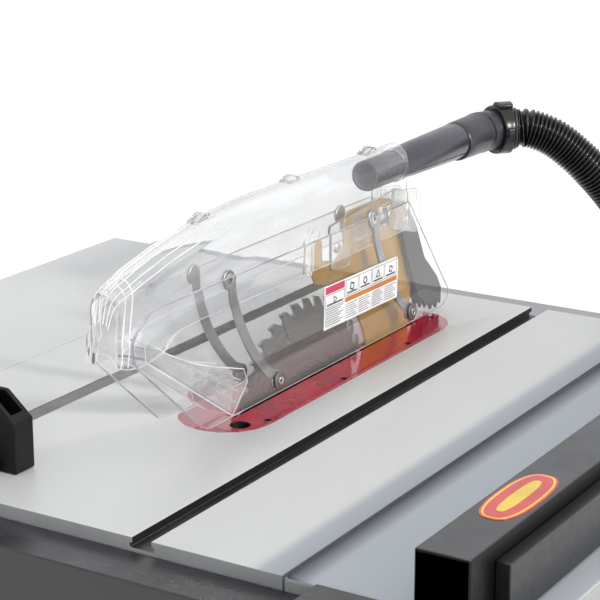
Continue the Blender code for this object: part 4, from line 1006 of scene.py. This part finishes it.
# ---- front deflector
def deflector():
    """Clear folded flap under the hood's nose with fanned stiffening ribs."""
    half, cheek = 15, 0.6
    inside = half - 0.8
    fold = Vector((-280, 106))
    side = rounded([(-286.5, 120, 4), (-250, 96.5, 30), (-210.9, 77.1, 30), (-170, 62, 30),
                    (-128.1, 48.6, 2), (-121.9, 34.5, 2), (-148.6, 7.8, 3), (-286, 100, 3)], 5)
    under = [(-284, 100), (-148, 8.2), (-147.5, 9.8), (-283, 101.8)]
    top = [(-283, 116), (-210.9, 75.5), (-129, 47), (-129, 48.5), (-210.9, 77), (-283, 117.5)]
    flap = [prism(side, "X", x - cheek, x + cheek) for x in (half, -half)]
    flap += [prism(under, "X", -half, half), prism(top, "X", -1.6, 1.6)]
    body = ("deflector", "clear_guard")
    new_piece("deflector_flap", joined(flap), CLEAR, *body, ["front_deflector"], 30)
    ribs = []
    for share in (0.28, 0.52, 0.78):
        a = fold + Vector((4 + 20 * share, -4))
        b = Vector((-147.6 + 19 * share, 9 + 38 * share))
        ribs.append(strip(a, b, 0.7, "X", -inside, inside))
    for share, tall in ((0.62, 22), (0.8, 30), (0.97, 36)):
        y, z = (fold - Vector((0, 5))).lerp(Vector((-148.6, 8.8)), share)
        rib = [(y, z), (y + 1.4, z), (y + 7.4, z + tall), (y + 6, z + tall)]
        ribs.append(prism(rib, "X", -inside, inside))
    new_piece("deflector_ribs", joined(ribs), CLEAR_RIB, *body, smooth=0)
    rims = [tube([Vector((x, *point)) for point in [*side, side[0]]], 0.6, 6)
            for x in (-half, half)]
    new_piece("deflector_outline", joined(rims), CLEAR_LIP, *body, smooth=80)


deflector()

# ---- sticker on the panel, with no words
STICKER_X = 25.52
SHEET_THICK, PRINT_THICK = 0.12, 0.18
PAPER, HEAD, BAR, INK, LINE = range(5)
LINE_STEP, LINE_TALL = 0.052, 0.021


def sticker():
    """A blank panel sticker: a red head, an orange bar, plain pictogram frames and grey lines.

    Places on it are shares of its width and height.
    """
    origin, along, down = Vector((6.2, 96.8)), Vector((151, -2.4)), Vector((-2.2, -45))

    def place(u, v):
        return tuple(origin + along * u + down * v)

    def layer(mark, outline, thick=PRINT_THICK):
        parts.append((mark, *prism(outline, "X", STICKER_X, STICKER_X + thick)))

    def patch(mark, u0, v0, u1, v1):
        layer(mark, [place(u0, v0), place(u0, v1), place(u1, v1), place(u1, v0)])

    parts = []
    corners = ((0, 0, 2), (0, 1, 1), (1, 1, 1), (1, 0, 6))
    layer(PAPER, rounded([(*place(u, v), radius) for u, v, radius in corners], 5), SHEET_THICK)
    patch(HEAD, 0.012, 0.03, 0.262, 0.195)
    patch(BAR, 0.275, 0.455, 0.985, 0.565)
    columns = [0.278 + 0.178 * i for i in range(4)]
    frames = [(0.012, 0.22, 0.262, 0.52)] + [(u, 0.05, u + 0.168, 0.43) for u in columns]
    for u0, v0, u1, v1 in frames:
        patch(INK, u0, v0, u1, v0 + 0.012)
        patch(INK, u0, v1 - 0.012, u1, v1)
        patch(INK, u0, v0, u0 + 0.004, v1)
        patch(INK, u1 - 0.004, v0, u1, v1)
    for index, (u0, v0, u1, v1) in enumerate(frames):
        center, radius = place((u0 + u1) / 2, (v0 + v1) / 2), 4.8 + 0.7 * (index % 2)
        sides, turn = 3 + index % 3, degrees(0.5 * index)
        layer(INK, circle(center, radius, sides, turn))
        layer(PAPER, circle(center, radius * 0.55, sides, turn), PRINT_THICK + 0.03)
        patch(INK, u0 + 0.02, v1 - 0.085, u1 - 0.02, v1 - 0.045)
    for row in range(8):
        v = 0.545 + LINE_STEP * row
        patch(LINE, 0.016, v, 0.25 - 0.03 * (row % 3), v + LINE_TALL)
    for u in columns:
        for row in range(7):
            v = 0.61 + LINE_STEP * row
            width = 0.155 - 0.018 * ((row * 2 + columns.index(u)) % 3)
            patch(LINE, u + 0.004, v, u + 0.004 + width, v + LINE_TALL)
    mats = [LABEL_WHITE, LABEL_RED, LABEL_ORANGE, LABEL_INK, LABEL_LINE]
    new_piece("panel_sticker", joined(parts), mats, "right_panel", "clear_guard", smooth=0)


sticker()

# ---- fence badge and mitre gauge
BADGE_AT, FENCE_TOP_Z = (394, -318), 65
BADGE_OVALS = ((19, 52, 0.4, 0), (17.2, 50, 0.6, 1), (15.2, 48, 0.8, 0), (6.2, 36, 1, 1))


def badge():
    """A plain two-tone badge let into the fence's top, with no words."""
    parts = []
    for half_x, half_y, lift, mark in BADGE_OVALS:
        outline = []
        for c, s in circle((0, 0), 1, 64):
            outline.append((BADGE_AT[0] + half_x * copysign(abs(c) ** 0.7, c),
                            BADGE_AT[1] + half_y * copysign(abs(s) ** 0.8, s)))
        parts.append((mark, *prism(outline, "Z", FENCE_TOP_Z, FENCE_TOP_Z + lift)))
    new_piece("fence_badge", joined(parts), [BADGE_RED, BADGE_YELLOW], "fence", "stop_red",
              smooth=30)


def mitre_head():
    """Cast mitre head: a hollowed protractor body behind an upright board with chamfered ends."""
    x, front, rear = -159.5, -360, -334
    half, foot, face_y = 88, 0.4, -360.5
    board = rounded([(x - half, foot, 2), (x + half, foot, 2), (x + half, 48, 4),
                     (x + half - 26, 70, 5), (x - half + 26, 70, 5), (x - half, 48, 4)], 4)
    piece = new_piece("mitre_board", prism(board, "Y", front, rear), MITRE_BLACK)
    pockets = []
    for side in (-1, 1):
        low, high = sorted((x + side * 24, x + side * 80.5))
        pockets.append((box((low, front + 5, 30), (high, rear - 5, 90)), MITRE_BLACK))
    cut(piece, pockets)
    soften(piece, 1.4, 3)
    body = ("mitre_head", "black_plastic")
    settle(piece, *body, ["mitre_head"])
    plan = rounded([(x - 70, face_y, 3), (x - 58, -395, 30), (x + 58, -395, 30),
                    (x + 70, face_y, 3)], 10)
    new_piece("mitre_protractor", prism(plan, "Z", foot, 12), MITRE_BLACK, *body, edge=(1.2, 3))
    marks = []
    for i in range(25):
        at = radians(-120 + 2.5 * i)
        along = Vector((cos(at), sin(at)))
        outer = Vector((x, face_y)) + along * 33.5
        marks.append(strip(outer, outer - along * (2.2 if i % 4 else 3.8), 0.18, "Z", 11.9, 12.15))
    new_piece("mitre_scale_marks", joined(marks), LABEL_WHITE, *body, smooth=0)


badge()
mitre_head()

# ---- floor, light and background
FLOOR_REACH, FLOOR_Z = 30, -0.0004
FLOOR = Recipe("studio_floor", (0.86, 0.86, 0.86), 0.6).vary(0.01, 2).roughen(0.05, 5)
FLOOR.bump(0.05, 60).put("Emission Color", (1, 1, 1, 1)).put("Emission Strength", 0.1)
floor_mesh = bpy.data.meshes.new("floor")
floor_corners = ((-1, -1), (1, -1), (1, 1), (-1, 1))
floor_mesh.from_pydata([(a * FLOOR_REACH, b * FLOOR_REACH, FLOOR_Z) for a, b in floor_corners],
                       [], [(0, 1, 2, 3)])
floor_mesh.materials.append(FLOOR.mat)
add_object("floor", floor_mesh, Vector())

world = bpy.data.worlds.new("studio")
world.use_nodes = True
light = world.node_tree.nodes["Background"]
seen = world.node_tree.nodes.new("ShaderNodeBackground")
for backdrop, color, strength in ((light, (0.945, 0.965, 0.99), 0.93), (seen, (1, 1, 1), 1.05)):
    backdrop.inputs["Color"].default_value = (*color, 1)
    backdrop.inputs["Strength"].default_value = strength
mix_shaders(world.node_tree, ("Is Camera Ray", "Is Transmission Ray"), light, seen, "World Output")
SCENE.world = world
SCENE.view_settings.view_transform = "Standard"


def lamp(name, kind, place, aim, energy, color=(1, 1, 1), **settings):
    data = bpy.data.lights.new(name, kind)
    data.energy, data.color = energy, color
    for key, value in settings.items():
        setattr(data, key, value)
    if kind == "SUN":
        data.cycles.use_multiple_importance_sampling = False
    obj = add_object(name, data, DATUM + Vector(place))
    obj.rotation_euler = (Vector(aim) - Vector(place)).to_track_quat("-Z", "Y").to_euler()
    obj.visible_diffuse = kind == "SUN"


lamp("key_sun", "SUN", (3, -0.35, 1.3), (0, 0, 0), 2.3, (1, 0.965, 0.9),
     angle=radians(5.5))
lamp("top_softbox", "AREA", (0.8, -0.6, 2.4), (0, 0.05, 0.1), 20, shape="RECTANGLE", size=1.6,
     size_y=1.6)
lamp("side_softbox", "AREA", (2.1, 0.9, 0.9), (0, 0.1, 0.1), 6, shape="RECTANGLE", size=0.5,
     size_y=1.6)
